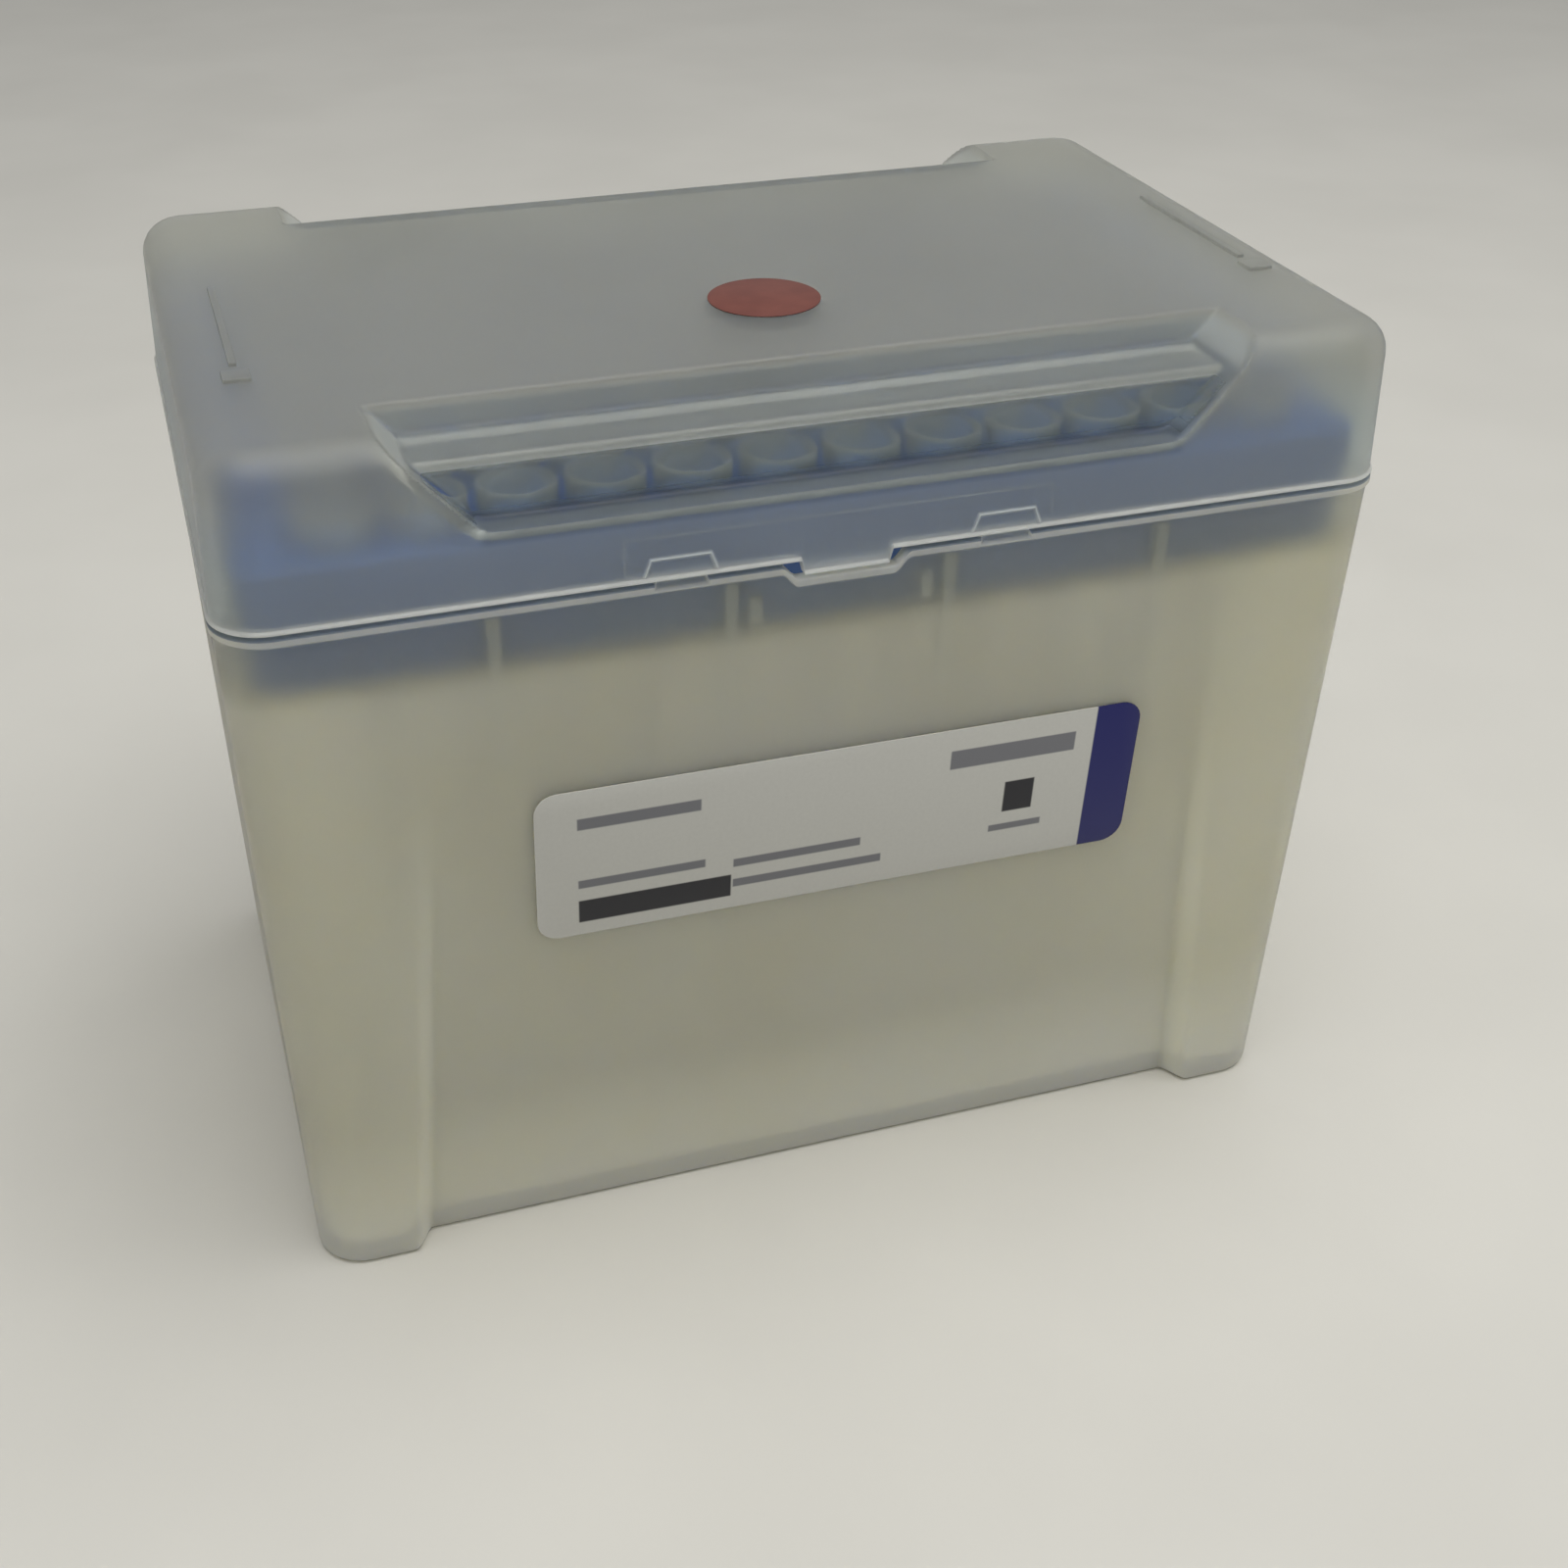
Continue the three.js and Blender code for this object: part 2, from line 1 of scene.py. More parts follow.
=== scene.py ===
# %% [markdown]
# # Box of pipette tips
#
# A milky polypropylene box stands on a pale table. Its frosted lid is closed over a blue tray that holds
# 96 tips, which show softly through the shells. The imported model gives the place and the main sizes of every
# piece. Each step below builds one part as a smooth surface, and later steps give the parts their materials.

# %% Tools and frame
import math

import bpy
import numpy as np
from mathutils import Matrix, Vector


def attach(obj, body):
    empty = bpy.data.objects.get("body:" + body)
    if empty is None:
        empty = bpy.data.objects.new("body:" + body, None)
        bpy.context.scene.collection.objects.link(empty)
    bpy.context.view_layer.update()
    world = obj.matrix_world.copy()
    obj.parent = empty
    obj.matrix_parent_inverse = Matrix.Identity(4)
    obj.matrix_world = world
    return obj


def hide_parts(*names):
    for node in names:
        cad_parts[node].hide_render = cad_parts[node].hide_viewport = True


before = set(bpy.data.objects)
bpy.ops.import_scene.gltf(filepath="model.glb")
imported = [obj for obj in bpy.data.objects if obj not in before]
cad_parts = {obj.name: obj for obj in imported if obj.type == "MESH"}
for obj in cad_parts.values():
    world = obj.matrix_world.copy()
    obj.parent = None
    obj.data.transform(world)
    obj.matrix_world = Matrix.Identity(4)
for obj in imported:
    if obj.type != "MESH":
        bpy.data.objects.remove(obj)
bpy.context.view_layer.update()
MM = 0.001
TAU = 2 * math.pi

# %% [markdown]
# The camera stands above the box and to its left, looks down by 32 degrees and has a slightly long lens,
# which keeps the box's upright edges nearly parallel. A target object could aim it. Working out its three
# directions needs nothing else, and a small shift of the sensor places the box in the frame without
# turning the camera.

# %% Camera
CAMERA_PLACE = Vector((-65.57, -212.37, 174.64))
forward = Vector((0.2551, 0.8058, -0.5345)).normalized()
right = forward.cross(Vector((0, 0, 1))).normalized()
up = right.cross(forward)
camera = bpy.data.objects.new("camera", bpy.data.cameras.new("camera"))
bpy.context.scene.collection.objects.link(camera)
turn = Matrix((right, up, -forward)).transposed().to_4x4()
camera.matrix_world = Matrix.Translation(CAMERA_PLACE * MM) @ turn
camera.data.sensor_width = 36
camera.data.lens = 46.4
camera.data.shift_x = 0.0276
camera.data.shift_y = -0.0074
camera.data.clip_start = 0.01
bpy.context.scene.camera = camera
print("camera at", [round(v) for v in CAMERA_PLACE], "mm")

# %% [markdown]
# These sizes are shared by several pieces, in millimetres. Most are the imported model's own. The tray is a
# little longer and deeper here, and the latch shallower. Half sizes are used because the box is the same
# on both sides of its middle.

# %% Sizes
BOX_X, BOX_Y, CORNER = 62.75, 41.0, 5.5  # half sizes over the rim, radius of the corners
RIM, BAND, BAND_PROUD = 84.2, 0.9, 0.3  # top of the base, height and relief of the band round it
WALL, FLOOR = 1.3, 1.6
TAPER_X, TAPER_Y = 1.5, 2.4  # how far the walls draw in from the rim to the foot
PANEL_TOP, PANEL_DEPTH = 66.0, 3.1  # where the set-back panel fades out, its depth at the foot
PANEL_FOOT_X, PANEL_TOP_X = 49.2, 44.2  # half its width at the foot and at its top
LID_EDGE, LID_TOP, LID_WALL = 84.8, 101.7, 1.2
LIP_PROUD, DRAFT, LID_ROUND = 0.25, 0.45, 4.0  # relief of the lip, lean of the wall, rounding of the top
RECESS_FLOOR, RECESS_X, RECESS_SLOPE = 91.9, 36.5, 0.93  # low ledge, half its length, lean of its ends
RECESS_IN, STEP_IN, STEP_DOWN = 3.45, 11.05, 3.3  # depth of the two ledges, drop to the upper one
DECK, DECK_T, TRAY_FOOT, TRAY_WALL = 89.7, 1.8, 76.1, 1.3
TRAY_X, TRAY_Y = 60.1, 38.1
TIP_TOP, TIP_END = 93.2, 21.7
PITCH, COLUMNS, ROWS, LOOSE_ROWS = 9.0, 12, 8, 4  # four rows of tips are separate pieces
HINGE_X, HINGE_Y, HINGE_Z = 30.0, 43.3, 84.5
PIN, EYE_BORE, EYE = 0.9, 1.15, 2.0  # radii of the pin, the bore round it and the eye
EAR_IN, EAR_OUT, PIN_END, EYE_END = 6.0, 8.0, 7.5, 5.7  # along the axis from each hinge's middle
LATCH, TONGUE_X = 1.55, 4.9  # how far the tongue hangs down and the rim dips, half the tongue's width
NOTCH_IN, NOTCH_OUT = 5.1, 7.0  # the dip is full up to the first and ends at the second
TAB, TAB_IN, TAB_OUT = 0.36, 14.5, 20.2  # height of the rim's two tabs, where each begins and ends
SLANT = 0.4  # width of the slanted sides of the tongue and the tabs
STEP = LID_TOP - STEP_DOWN  # height of the recess's upper ledge
print("box:", 2 * BOX_X, "by", 2 * BOX_Y, "mm, lid's top at", LID_TOP, "mm")

# %% [markdown]
# Every shell is a grid of points: one way round the box seen from above, the other way along its section.
# Boolean cuts would leave hard facets and stray edges. A grid stays smooth and closed, which clear
# plastic needs, because light bends at every face. These helpers turn grids into meshes and keep their
# sides facing out.

# %% Mesh helpers
def new_object(name, verts_mm, faces, body, smooth_angle=40):
    """Object from points in millimetres and faces, facing outward, riding on a body."""
    mesh = bpy.data.meshes.new(name)
    mesh.from_pydata((np.asarray(verts_mm) * MM).tolist(), [], faces)
    mesh.validate()
    obj = bpy.data.objects.new(name, mesh)
    bpy.context.scene.collection.objects.link(obj)
    mesh.shade_smooth()
    mesh.set_sharp_from_angle(angle=math.radians(smooth_angle))
    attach(obj, body)
    return obj


def signed_volume(verts, quads):
    """Six times the volume inside quads: sum of a . (b x c) over both triangles of each quad a b c d."""
    a, b, c, d = (verts[quads[:, k]] for k in range(4))
    return np.einsum("ij,ij->", a, np.cross(b, c)) + np.einsum("ij,ij->", a, np.cross(c, d))


def wrapped_quads(levels, around, close_levels=False):
    """Quads of a grid whose rows close round; its columns close too if close_levels."""
    rows = np.arange(levels if close_levels else levels - 1)
    i, j = np.meshgrid(rows, np.arange(around), indexing="ij")
    here = i * around + j
    beside = i * around + (j + 1) % around
    above = ((i + 1) % levels) * around + j
    across = ((i + 1) % levels) * around + (j + 1) % around
    return np.stack([here, beside, across, above], axis=-1).reshape(-1, 4)


def shell_object(name, grid, body, smooth_angle=40):
    """Closed piece from a grid [level, around, xyz] with its first and last rows closed by flat faces."""
    levels, around, _ = grid.shape
    verts = grid.reshape(-1, 3)
    quads = wrapped_quads(levels, around)
    first = np.arange(around)[::-1]
    last = np.arange(around) + (levels - 1) * around
    if signed_volume(verts - verts.mean(axis=0), quads) < 0:
        quads, first, last = quads[:, ::-1], first[::-1], last[::-1]
    return new_object(name, verts, quads.tolist() + [first.tolist(), last.tolist()], body, smooth_angle)


print("mesh helpers: grids become closed pieces")

# %% [markdown]
# A natural plastic is clearer where it is thin. A painted image would need an unwrapped mesh. Here each
# point of a mesh stores how clear the plastic is and a factor for its colour, which holds tints and painted
# shade, and the materials read both. The values come from short lists of knots and from smooth steps.

# %% Stored clearness and curves
def paint(obj, clearness, tint_and_shade=(1.0, 1.0, 1.0)):
    """Stores how clear the plastic is at every point, and the factor that its colour is multiplied by, which
    holds tints and painted shade.
    """
    count = len(obj.data.vertices)
    clear = obj.data.attributes.new("clearness", "FLOAT", "POINT")
    clear.data.foreach_set("value", np.broadcast_to(clearness, count).astype(np.float32))
    shade = obj.data.attributes.new("tint_and_shade", "FLOAT_VECTOR", "POINT")
    shade.data.foreach_set("vector", np.broadcast_to(tint_and_shade, (count, 3)).astype(np.float32).ravel())


def smoothstep(edge0, edge1, x):
    """3t^2 - 2t^3 with t = (x - edge0) / (edge1 - edge0) kept within 0 and 1."""
    t = np.clip((x - edge0) / (edge1 - edge0), 0, 1)
    return t * t * (3 - 2 * t)


def by_height(z, knots):
    """Value at each height, straight between (height, value) knots and level beyond them."""
    heights, values = np.array(knots, dtype=float).T
    return np.interp(z, heights, values)


def blend(start, end, share):
    """start + (end - start) * share, so start where the share is 0 and end where it is 1."""
    return start + (end - start) * share


def blend_tint(start, end, share):
    """The same for tints, whose last axis holds red, green and blue."""
    return start + (np.array(end) - start) * share[..., None]


def arc(centre, radius, start, end, steps):
    """Points of a circle's arc, angles in degrees, as (first, second) coordinates."""
    angles = np.radians(np.linspace(start, end, steps))
    return np.stack([centre[0] + radius * np.cos(angles), centre[1] + radius * np.sin(angles)], axis=1)


def samples(*runs):
    """Sorted values of several (start, end, step) runs, each mirrored about nought."""
    values = np.concatenate([np.arange(a, b + c / 2, c) for a, b, c in runs])
    values = np.unique(np.round(np.concatenate([values, -values]), 3))
    return values[np.concatenate([[True], np.diff(values) > 0.02])]


print("curve helpers ready")

# %% [markdown]
# Seen from above, the box is a rounded rectangle. A bevelled curve would draw one, but its points would
# wander as the walls taper. Here the points of the long sides stay at fixed distances from the middle, so
# that the latch, the panels and the recesses get clean edges at every height.

# %% Plan outline
HOLD = 52.5  # samples within this distance of the middle keep their x
ARC_STEPS, SIDE_STEPS = 12, 16


def plan_template(front_x, back_x=None):
    """Coefficients of every outline point, so that x = ax (hx - r) + bx r + cx and y = ay (hy - r) + by r."""
    end = BOX_X - CORNER
    quarter = np.radians(np.linspace(0, 90, ARC_STEPS + 1))
    flat = np.linspace(-1, 1, SIDE_STEPS + 1)[1:-1]
    parts = []

    def add(ax, bx, cx, ay, by, side):
        parts.append(np.stack(np.broadcast_arrays(ax, bx, cx, ay, by, side), axis=-1))

    def corner(sx, sy, start):
        a = start + quarter
        add(sx, np.cos(a), 0 * a, sy, np.sin(a), 0)

    # once round: the front (side -1) and the right end, then the back (side 1) and the left end
    for side, edge_x in ((-1, front_x), (1, front_x if back_x is None else back_x)):
        x = edge_x[np.abs(edge_x) < end - 0.3][::-side]
        stretch = np.clip((np.abs(x) - HOLD) / (end - HOLD), 0, 1)
        held = np.where(stretch > 0, np.sign(x) * HOLD * (1 - stretch), x)
        add(np.sign(x) * stretch, 0, held, side, side, side)
        corner(-side, side, side * math.pi / 2)
        add(-side, -side, 0 * flat, -side * flat, 0, 0)
        corner(-side, -side, (side + 1) * math.pi / 2)
    return np.concatenate(parts, axis=0)


def outline(template, half_x, half_y, radius):
    """x and y of the outline at each level: arrays [level, around]."""
    ax, bx, cx, ay, by, _ = template.T
    hx, hy, r = (np.asarray(v, dtype=float).reshape(-1, 1) for v in (half_x, half_y, radius))
    return ax * (hx - r) + bx * r + cx, ay * (hy - r) + by * r


print("plan outline: long sides keep their points up to", HOLD, "mm")

# %% [markdown]
# The base is a deep box moulded in one shot, so its walls lean in towards the foot to let it leave the
# mould. Here it is one closed skin: up the outside, over the rim and down the inside to the floor. Front
# and back have a panel that is set back most at the foot and fades out below the rim, which leaves four
# legs. The rim dips round the lid's tongue and stands up as two low tabs under the lid's raised arches.
# All of these only move the grid's points, so no cut can leave a ragged edge.

# %% Base form
FOOT_ROUND, RIM_ROUND, INNER_RIM_ROUND, FLOOR_ROUND = 0.9, 0.2, 0.25, 1.4
BAND_FOOT = RIM - BAND
WALL_TOP = BAND_FOOT - 0.15
DIP_FROM = 78.0  # the wall below this height doesn't follow the rim's dip


def wall_x(z):
    """Half length of the box over its outer wall at a height."""
    return BOX_X - BAND_PROUD - TAPER_X * (1 - z / RIM)


def wall_y(z):
    """Half depth of the box over its outer wall at a height."""
    return BOX_Y - BAND_PROUD - TAPER_Y * (1 - z / RIM)


def panel_depth(z):
    """How far the panel lies behind the wall: PANEL_DEPTH at the foot, fading out at PANEL_TOP."""
    rise = PANEL_DEPTH * (1 - z / PANEL_TOP)
    return 0.5 * (rise + np.sqrt(rise**2 + 0.02))


def on_panel(x, z, out):
    """1 on the panel and 0 on the legs: a smooth step in |x| across the panel's edge."""
    edge = PANEL_FOOT_X + (PANEL_TOP_X - PANEL_FOOT_X) * z / PANEL_TOP - out
    return 1 - smoothstep(edge - 1.5, edge + 1.1, np.abs(x))


def base_section():
    """(z, offset out of the wall) down the whole section, from the underside to the inner floor."""
    foot = arc((-FOOT_ROUND, FOOT_ROUND), FOOT_ROUND, -90, 0, 6)[:, ::-1]
    outer = np.stack([np.linspace(2, WALL_TOP, 44), np.zeros(44)], axis=1)
    band = np.array([[BAND_FOOT - 0.05, 0.04], [BAND_FOOT, 0.2], [BAND_FOOT + 0.12, BAND_PROUD]])
    face = np.array([[BAND_FOOT + step, BAND_PROUD] for step in (0.25, 0.3, 0.45)])
    rim = arc((BAND_PROUD - RIM_ROUND, RIM - RIM_ROUND), RIM_ROUND, 0, 90, 5)[:, ::-1]
    lip_centre = (-WALL + INNER_RIM_ROUND, RIM - INNER_RIM_ROUND)
    lip = arc(lip_centre, INNER_RIM_ROUND, 90, 180, 5)[:, ::-1]
    inner = np.stack([np.linspace(RIM - 1, FLOOR + 1.6, 44), np.full(44, -WALL)], axis=1)
    floor = arc((-WALL - FLOOR_ROUND, FLOOR + FLOOR_ROUND), FLOOR_ROUND, 0, -90, 7)[:, ::-1]
    under, inside = [[0.0, -3.2]], [[FLOOR, -4.2]]
    return np.concatenate([under, foot, outer, band, face, rim, lip, inner, floor, inside])


def rim_dip(x):
    """Depth of the latch notch: LATCH in the middle, with a smooth step up to nought at each side."""
    return LATCH * smoothstep(NOTCH_OUT, NOTCH_IN, np.abs(x))


def tab_rise(x):
    """Height of the two tabs: TAB between TAB_IN and TAB_OUT either side, with slanted ends."""
    a = np.abs(x)
    return TAB * np.clip(np.minimum((a - TAB_IN) / SLANT, (TAB_OUT - a) / SLANT), 0, 1)


base_x = samples(
    (0, 57, 1),
    (NOTCH_IN - 0.2, NOTCH_OUT + 0.1, 0.2),
    (TAB_IN - 0.4, TAB_IN + 0.6, 0.2),
    (TAB_OUT - 0.6, TAB_OUT + 0.4, 0.2),
    (PANEL_TOP_X - 2.8, HOLD, 0.35),
)
base_plan = plan_template(base_x)
z, out = base_section().T
z, out = z[:, None], out[:, None]
x, y = outline(base_plan, wall_x(z) + out, wall_y(z) + out, np.maximum(CORNER + out, 1.2))
side = base_plan[:, 5][None, :]
front = side < 0
panel = on_panel(x, z, out) * (side != 0)
y = y - side * panel_depth(z) * panel
near_rim = np.clip((z - DIP_FROM) / (WALL_TOP - DIP_FROM), 0, 1)
tab = tab_rise(x) * np.clip((z - (BAND_FOOT + 0.25)) / 0.05, 0, 1)
on_tab = front * np.clip(tab / TAB, 0, 1)
pulled_in = on_tab * np.clip(out, 0, None)
z_grid = z - front * rim_dip(x) * near_rim + front * tab
base = shell_object("base_shell", np.stack([x, y + pulled_in, z_grid + 0 * x], axis=-1), "box")
print("base shell:", len(base.data.vertices), "points")

# %% [markdown]
# The base's natural plastic looks milky low down, where it is thick, and clear under the rim, where it is
# thin and the blue tray shows through. It is milky again along the panel's edges and on the rim's band,
# which catches the light as a bright line. A painted shade darkens and cools the thin wall under the rim,
# where the tray lies behind it, and a painted shadow darkens the top of the rim in the gap under the lid.

# %% Base clearness
LOW_CLEARNESS = [(0, 0.42), (10, 0.55), (20, 0.71), (34, 0.71)]  # knots of height and clearness
RIM_CLEARNESS = [(RIM - 8.8, 0.69), (RIM - 5.9, 0.93), (RIM - 1.0, 0.93), (RIM - 0.85, 0.56)]
TAB_CLEARNESS = 0.93
EDGE_MILK = 0.15  # clearness that the panel's edges lose
# painted shade for the thin wall under the rim, and painted shadow for the rim's top in the gap
THIN_WALL_SHADE_TINT, GAP_SHADOW_TINT = (0.91, 0.93, 0.98), (0.20, 0.25, 0.37)

level = np.broadcast_to(z, x.shape)
clear = by_height(level, LOW_CLEARNESS + RIM_CLEARNESS)
clear = clear - EDGE_MILK * 4 * panel * (1 - panel) * np.clip(panel_depth(z) / 1.5, 0, 1)
clear = blend(clear, TAB_CLEARNESS, on_tab * (level < RIM - 0.12))
# painted shade: the thin wall under the rim is darker and cooler where the tray lies behind it
thin = smoothstep(RIM - 8.8, RIM - 5.0, level) * smoothstep(BAND_FOOT, BAND_FOOT - 0.1, level)
# painted shadow: the rim's top in the gap under the lid is darkened, except on the tabs and in the dip
open_rim = (1 - on_tab) * (1 - front * np.clip(rim_dip(x), 0, 1))
gap_shadow = smoothstep(RIM - 0.2, RIM - 0.1, level) * open_rim
shade = blend_tint(1, THIN_WALL_SHADE_TINT, thin) * blend_tint(1, GAP_SHADOW_TINT, gap_shadow)
paint(base, clear.ravel(), shade.reshape(-1, 3))
print("base clearness from", round(float(clear.min()), 2), "to", round(float(clear.max()), 2))

# %% [markdown]
# The next pieces have flat sides, so each is a prism: an outline in the y-z plane pulled along x. A cube
# would do for the simplest, and a prism does for all. The Bevel modifier then rounds their edges, because
# a moulded edge is never quite sharp and shows as a thin bright line.

# %% Prism helpers
def prism_along_x(points_yz, x0, x1):
    """Closed prism of a [y, z] outline between two x values: points and faces."""
    ring = np.asarray(points_yz, dtype=float)
    n = len(ring)
    area = np.sum(ring[:, 0] * np.roll(ring[:, 1], -1) - np.roll(ring[:, 0], -1) * ring[:, 1])
    ring = ring if area > 0 else ring[::-1]
    low = np.column_stack([np.full(n, x0), ring])
    high = np.column_stack([np.full(n, x1), ring])
    around = np.arange(n)
    sides = np.stack([around, (around + 1) % n, (around + 1) % n + n, around + n], axis=1)
    return np.concatenate([low, high]), sides.tolist() + [around[::-1].tolist(), (around + n).tolist()]


def bar(x0, x1, y0, y1, z0, z1):
    """Box as points and faces."""
    return prism_along_x([(y0, z0), (y1, z0), (y1, z1), (y0, z1)], x0, x1)


def joined(pieces):
    """One list of points and faces from several."""
    verts, faces, start = [], [], 0
    for points, polygons in pieces:
        verts.append(points)
        faces += [[i + start for i in polygon] for polygon in polygons]
        start += len(points)
    return np.concatenate(verts), faces


def mirrored(piece, axis):
    """The mirror image of points and faces across nought along an axis."""
    points, faces = piece
    points = points.copy()
    points[:, axis] *= -1
    return points, [face[::-1] for face in faces]


def turned_quarter(piece):
    """Points and faces turned by 90 degrees about z, so that -y becomes +x."""
    points, faces = piece
    return np.column_stack([-points[:, 1], points[:, 0], points[:, 2]]), faces


def soften(obj, width=0.15, segments=2):
    """Rounds the edges of a piece by a width in millimetres."""
    bevel = obj.modifiers.new("soft edges", "BEVEL")
    bevel.width = width * MM
    bevel.segments = segments
    bevel.limit_method = "ANGLE"
    bevel.angle_limit = math.radians(35)
    bevel.harden_normals = True


print("prism helpers ready")

# %% [markdown]
# Slim ledges inside the wall carry the tray's skirt, and a guide above each one centres it. Two small
# catches sit inside the front wall, one on either side of the latch. They are moulded with the wall, so
# they reach half a millimetre into it, and no seam shows.

# %% Ledges and catches
LEDGE_HALF, LEDGE_DROP, GUIDE_RISE, GUIDE_ROOM, INTO_WALL = 0.7, 11.0, 6.5, 0.35, 0.5
LEDGES_X, LEDGES_Y = (-36.15, -11.85, 11.85, 36.15), (-18, 18)
CATCH_X, CATCH_Z = (8.6, 10.0), (77.9, 80.6)


def ledge_outline(wall_at, skirt):
    """[y, z] outline of a ledge on the wall towards -y, under a skirt that reaches so far out."""
    under, guide = skirt - 0.6 - TRAY_WALL - 0.5, skirt + GUIDE_ROOM
    foot, top = TRAY_FOOT - LEDGE_DROP, TRAY_FOOT + GUIDE_RISE
    wall_foot, wall_top = wall_at(foot) - WALL, wall_at(top) - WALL
    return [
        (-wall_foot - INTO_WALL, foot),
        (-wall_foot, foot),
        (-under, foot + (wall_foot - under) * 1.5),
        (-under, TRAY_FOOT),
        (-guide, TRAY_FOOT),
        (-guide, top - 1),
        (-wall_top, top),
        (-wall_top - INTO_WALL, top),
    ]


moulded = []
for place in LEDGES_X:
    ledge = prism_along_x(ledge_outline(wall_y, TRAY_Y), place - LEDGE_HALF, place + LEDGE_HALF)
    moulded += [ledge, mirrored(ledge, 1)]
for place in LEDGES_Y:
    ledge = prism_along_x(ledge_outline(wall_x, TRAY_X), place - LEDGE_HALF, place + LEDGE_HALF)
    moulded += [turned_quarter(ledge), mirrored(turned_quarter(ledge), 0)]
catch_low, catch_high = CATCH_Z
catch_face = wall_y(catch_high) - WALL
catch = bar(*CATCH_X, -catch_face - INTO_WALL, -catch_face + 1, catch_low, catch_high)
moulded += [catch, mirrored(catch, 0)]
ledges = new_object("base_ledges", *joined(moulded), "box")
soften(ledges)
print("ledges and catches:", len(moulded), "prisms")

# %% [markdown]
# Each hinge has two ears on the back wall that hold a pin between them. An ear's outline is the tightest
# one round the pin's boss and its foot on the wall, as a designer draws a lug: two straight sides that
# run into a round end.

# %% Hinge ears
def disc(radius, steps=40):
    """[y, z] points of a circle about the hinge's axis."""
    return arc((HINGE_Y, HINGE_Z), radius, 0, 360 - 360 / steps, steps)


def hull(points):
    """Convex outline of points, anticlockwise (monotone chain)."""
    points = sorted(map(tuple, np.round(points, 4).tolist()))

    def turns_left(a, b, c):
        return (b[0] - a[0]) * (c[1] - a[1]) - (b[1] - a[1]) * (c[0] - a[0]) > 0

    def half(run):
        chain = []
        for p in run:
            while len(chain) > 1 and not turns_left(chain[-2], chain[-1], p):
                chain.pop()
            chain.append(p)
        return chain[:-1]

    return half(points) + half(points[::-1])


ear_wall = BOX_Y - BAND_PROUD - INTO_WALL
ear_foot = [(ear_wall, HINGE_Z - EYE - 5), (ear_wall, HINGE_Z - 1.2)]
ear_outline = hull(np.concatenate([disc(EYE), ear_foot]))
hinge_parts = []
for middle in (-HINGE_X, HINGE_X):
    hinge_parts += [
        prism_along_x(ear_outline, middle - EAR_OUT, middle - EAR_IN),
        prism_along_x(ear_outline, middle + EAR_IN, middle + EAR_OUT),
        prism_along_x(disc(PIN), middle - PIN_END, middle + PIN_END),
    ]
ears = new_object("hinge_ears", *joined(hinge_parts), "box")
soften(ears, 0.2, 3)
paint(ears, 0.7)
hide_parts("base")
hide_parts("base")
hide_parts("base")
print("hinge ears:", len(hinge_parts), "prisms")

# %% [markdown]
# The lid is a thin shell with rounded top edges. A recess in its front and back top edges shows the
# collars of the outer tips: a low ledge, a set-back wall, an upper ledge and a riser to the flat top. The
# plain form and the recessed form are each a path in distance inward and height. Points with the same sum
# on the two paths belong together, so the way from one form to the other is a plain shift.

# %% Lid section
OUTER_RADII, INNER_RADII = (0.8, 0.6, 0.7, 0.6, 0.35), (0.3, 0.9, 0.5, 0.9, 0.3)
FAR_IN = 30.0  # both paths end this far in, on the flat top


def rounded_path(corners, radii, steps=7):
    """Polyline through corner points with each inner corner rounded by its radius."""
    corners = np.asarray(corners, dtype=float)
    path = [corners[0][None]]
    for before, here, after, radius in zip(corners, corners[1:], corners[2:], radii):
        to_before = (before - here) / np.linalg.norm(before - here)
        to_after = (after - here) / np.linalg.norm(after - here)
        half_angle = 0.5 * math.acos(np.clip(to_before @ to_after, -1, 1))
        reach = radius / math.tan(half_angle)
        between = to_before + to_after
        middle = here + between / np.linalg.norm(between) * radius / math.sin(half_angle)
        first, last = here + to_before * reach - middle, here + to_after * reach - middle
        t = np.linspace(0, 1, steps)[:, None]
        spoke = first * (1 - t) + last * t
        path.append(middle + spoke / np.linalg.norm(spoke, axis=1, keepdims=True) * radius)
    path.append(corners[-1][None])
    return np.concatenate(path)


def lid_sections(inset, t):
    """(inward distance, z) of the plain form and of the recessed form where their sum equals t."""
    shoulder, low, step, top = LID_TOP - LID_ROUND, RECESS_FLOOR - inset, STEP - inset, LID_TOP - inset
    wall = np.array([[0.0, LID_EDGE - 4], [0.0, LID_EDGE], [DRAFT, shoulder]])
    turn_in = arc((DRAFT + LID_ROUND - inset, shoulder), LID_ROUND - inset, 180, 90, 24)
    plain = np.concatenate([wall, turn_in[1:], [[FAR_IN, top]]])
    corners = [
        (0.0, LID_EDGE - 4),
        (DRAFT * 0.5, low),
        (RECESS_IN, low + 0.02),
        (RECESS_IN + 0.02, step),
        (STEP_IN, step + 0.05),
        (STEP_IN + 0.05, top),
        (FAR_IN, top),
    ]
    cut = rounded_path(corners, OUTER_RADII if inset == 0 else INNER_RADII)

    def at(path):
        total = path.sum(axis=1)
        return np.interp(t, total, path[:, 0]), np.interp(t, total, path[:, 1])

    return at(plain), at(cut)


print("lid section: recess", round(LID_TOP - RECESS_FLOOR, 1), "mm deep in two steps")

# %% [markdown]
# The recess ends in slanted walls. At each point the shift is the smaller of two amounts: how deep the
# recess is there, and how far the point lies above the slanted end. The two are blended softly, because a
# fold in clear plastic shows as a dark crack. The lid's lower edge is straight but for the latch's
# tongue, and over each tab of the rim a thin line in the shape of an arch stands out of the wall and
# stiffens it.

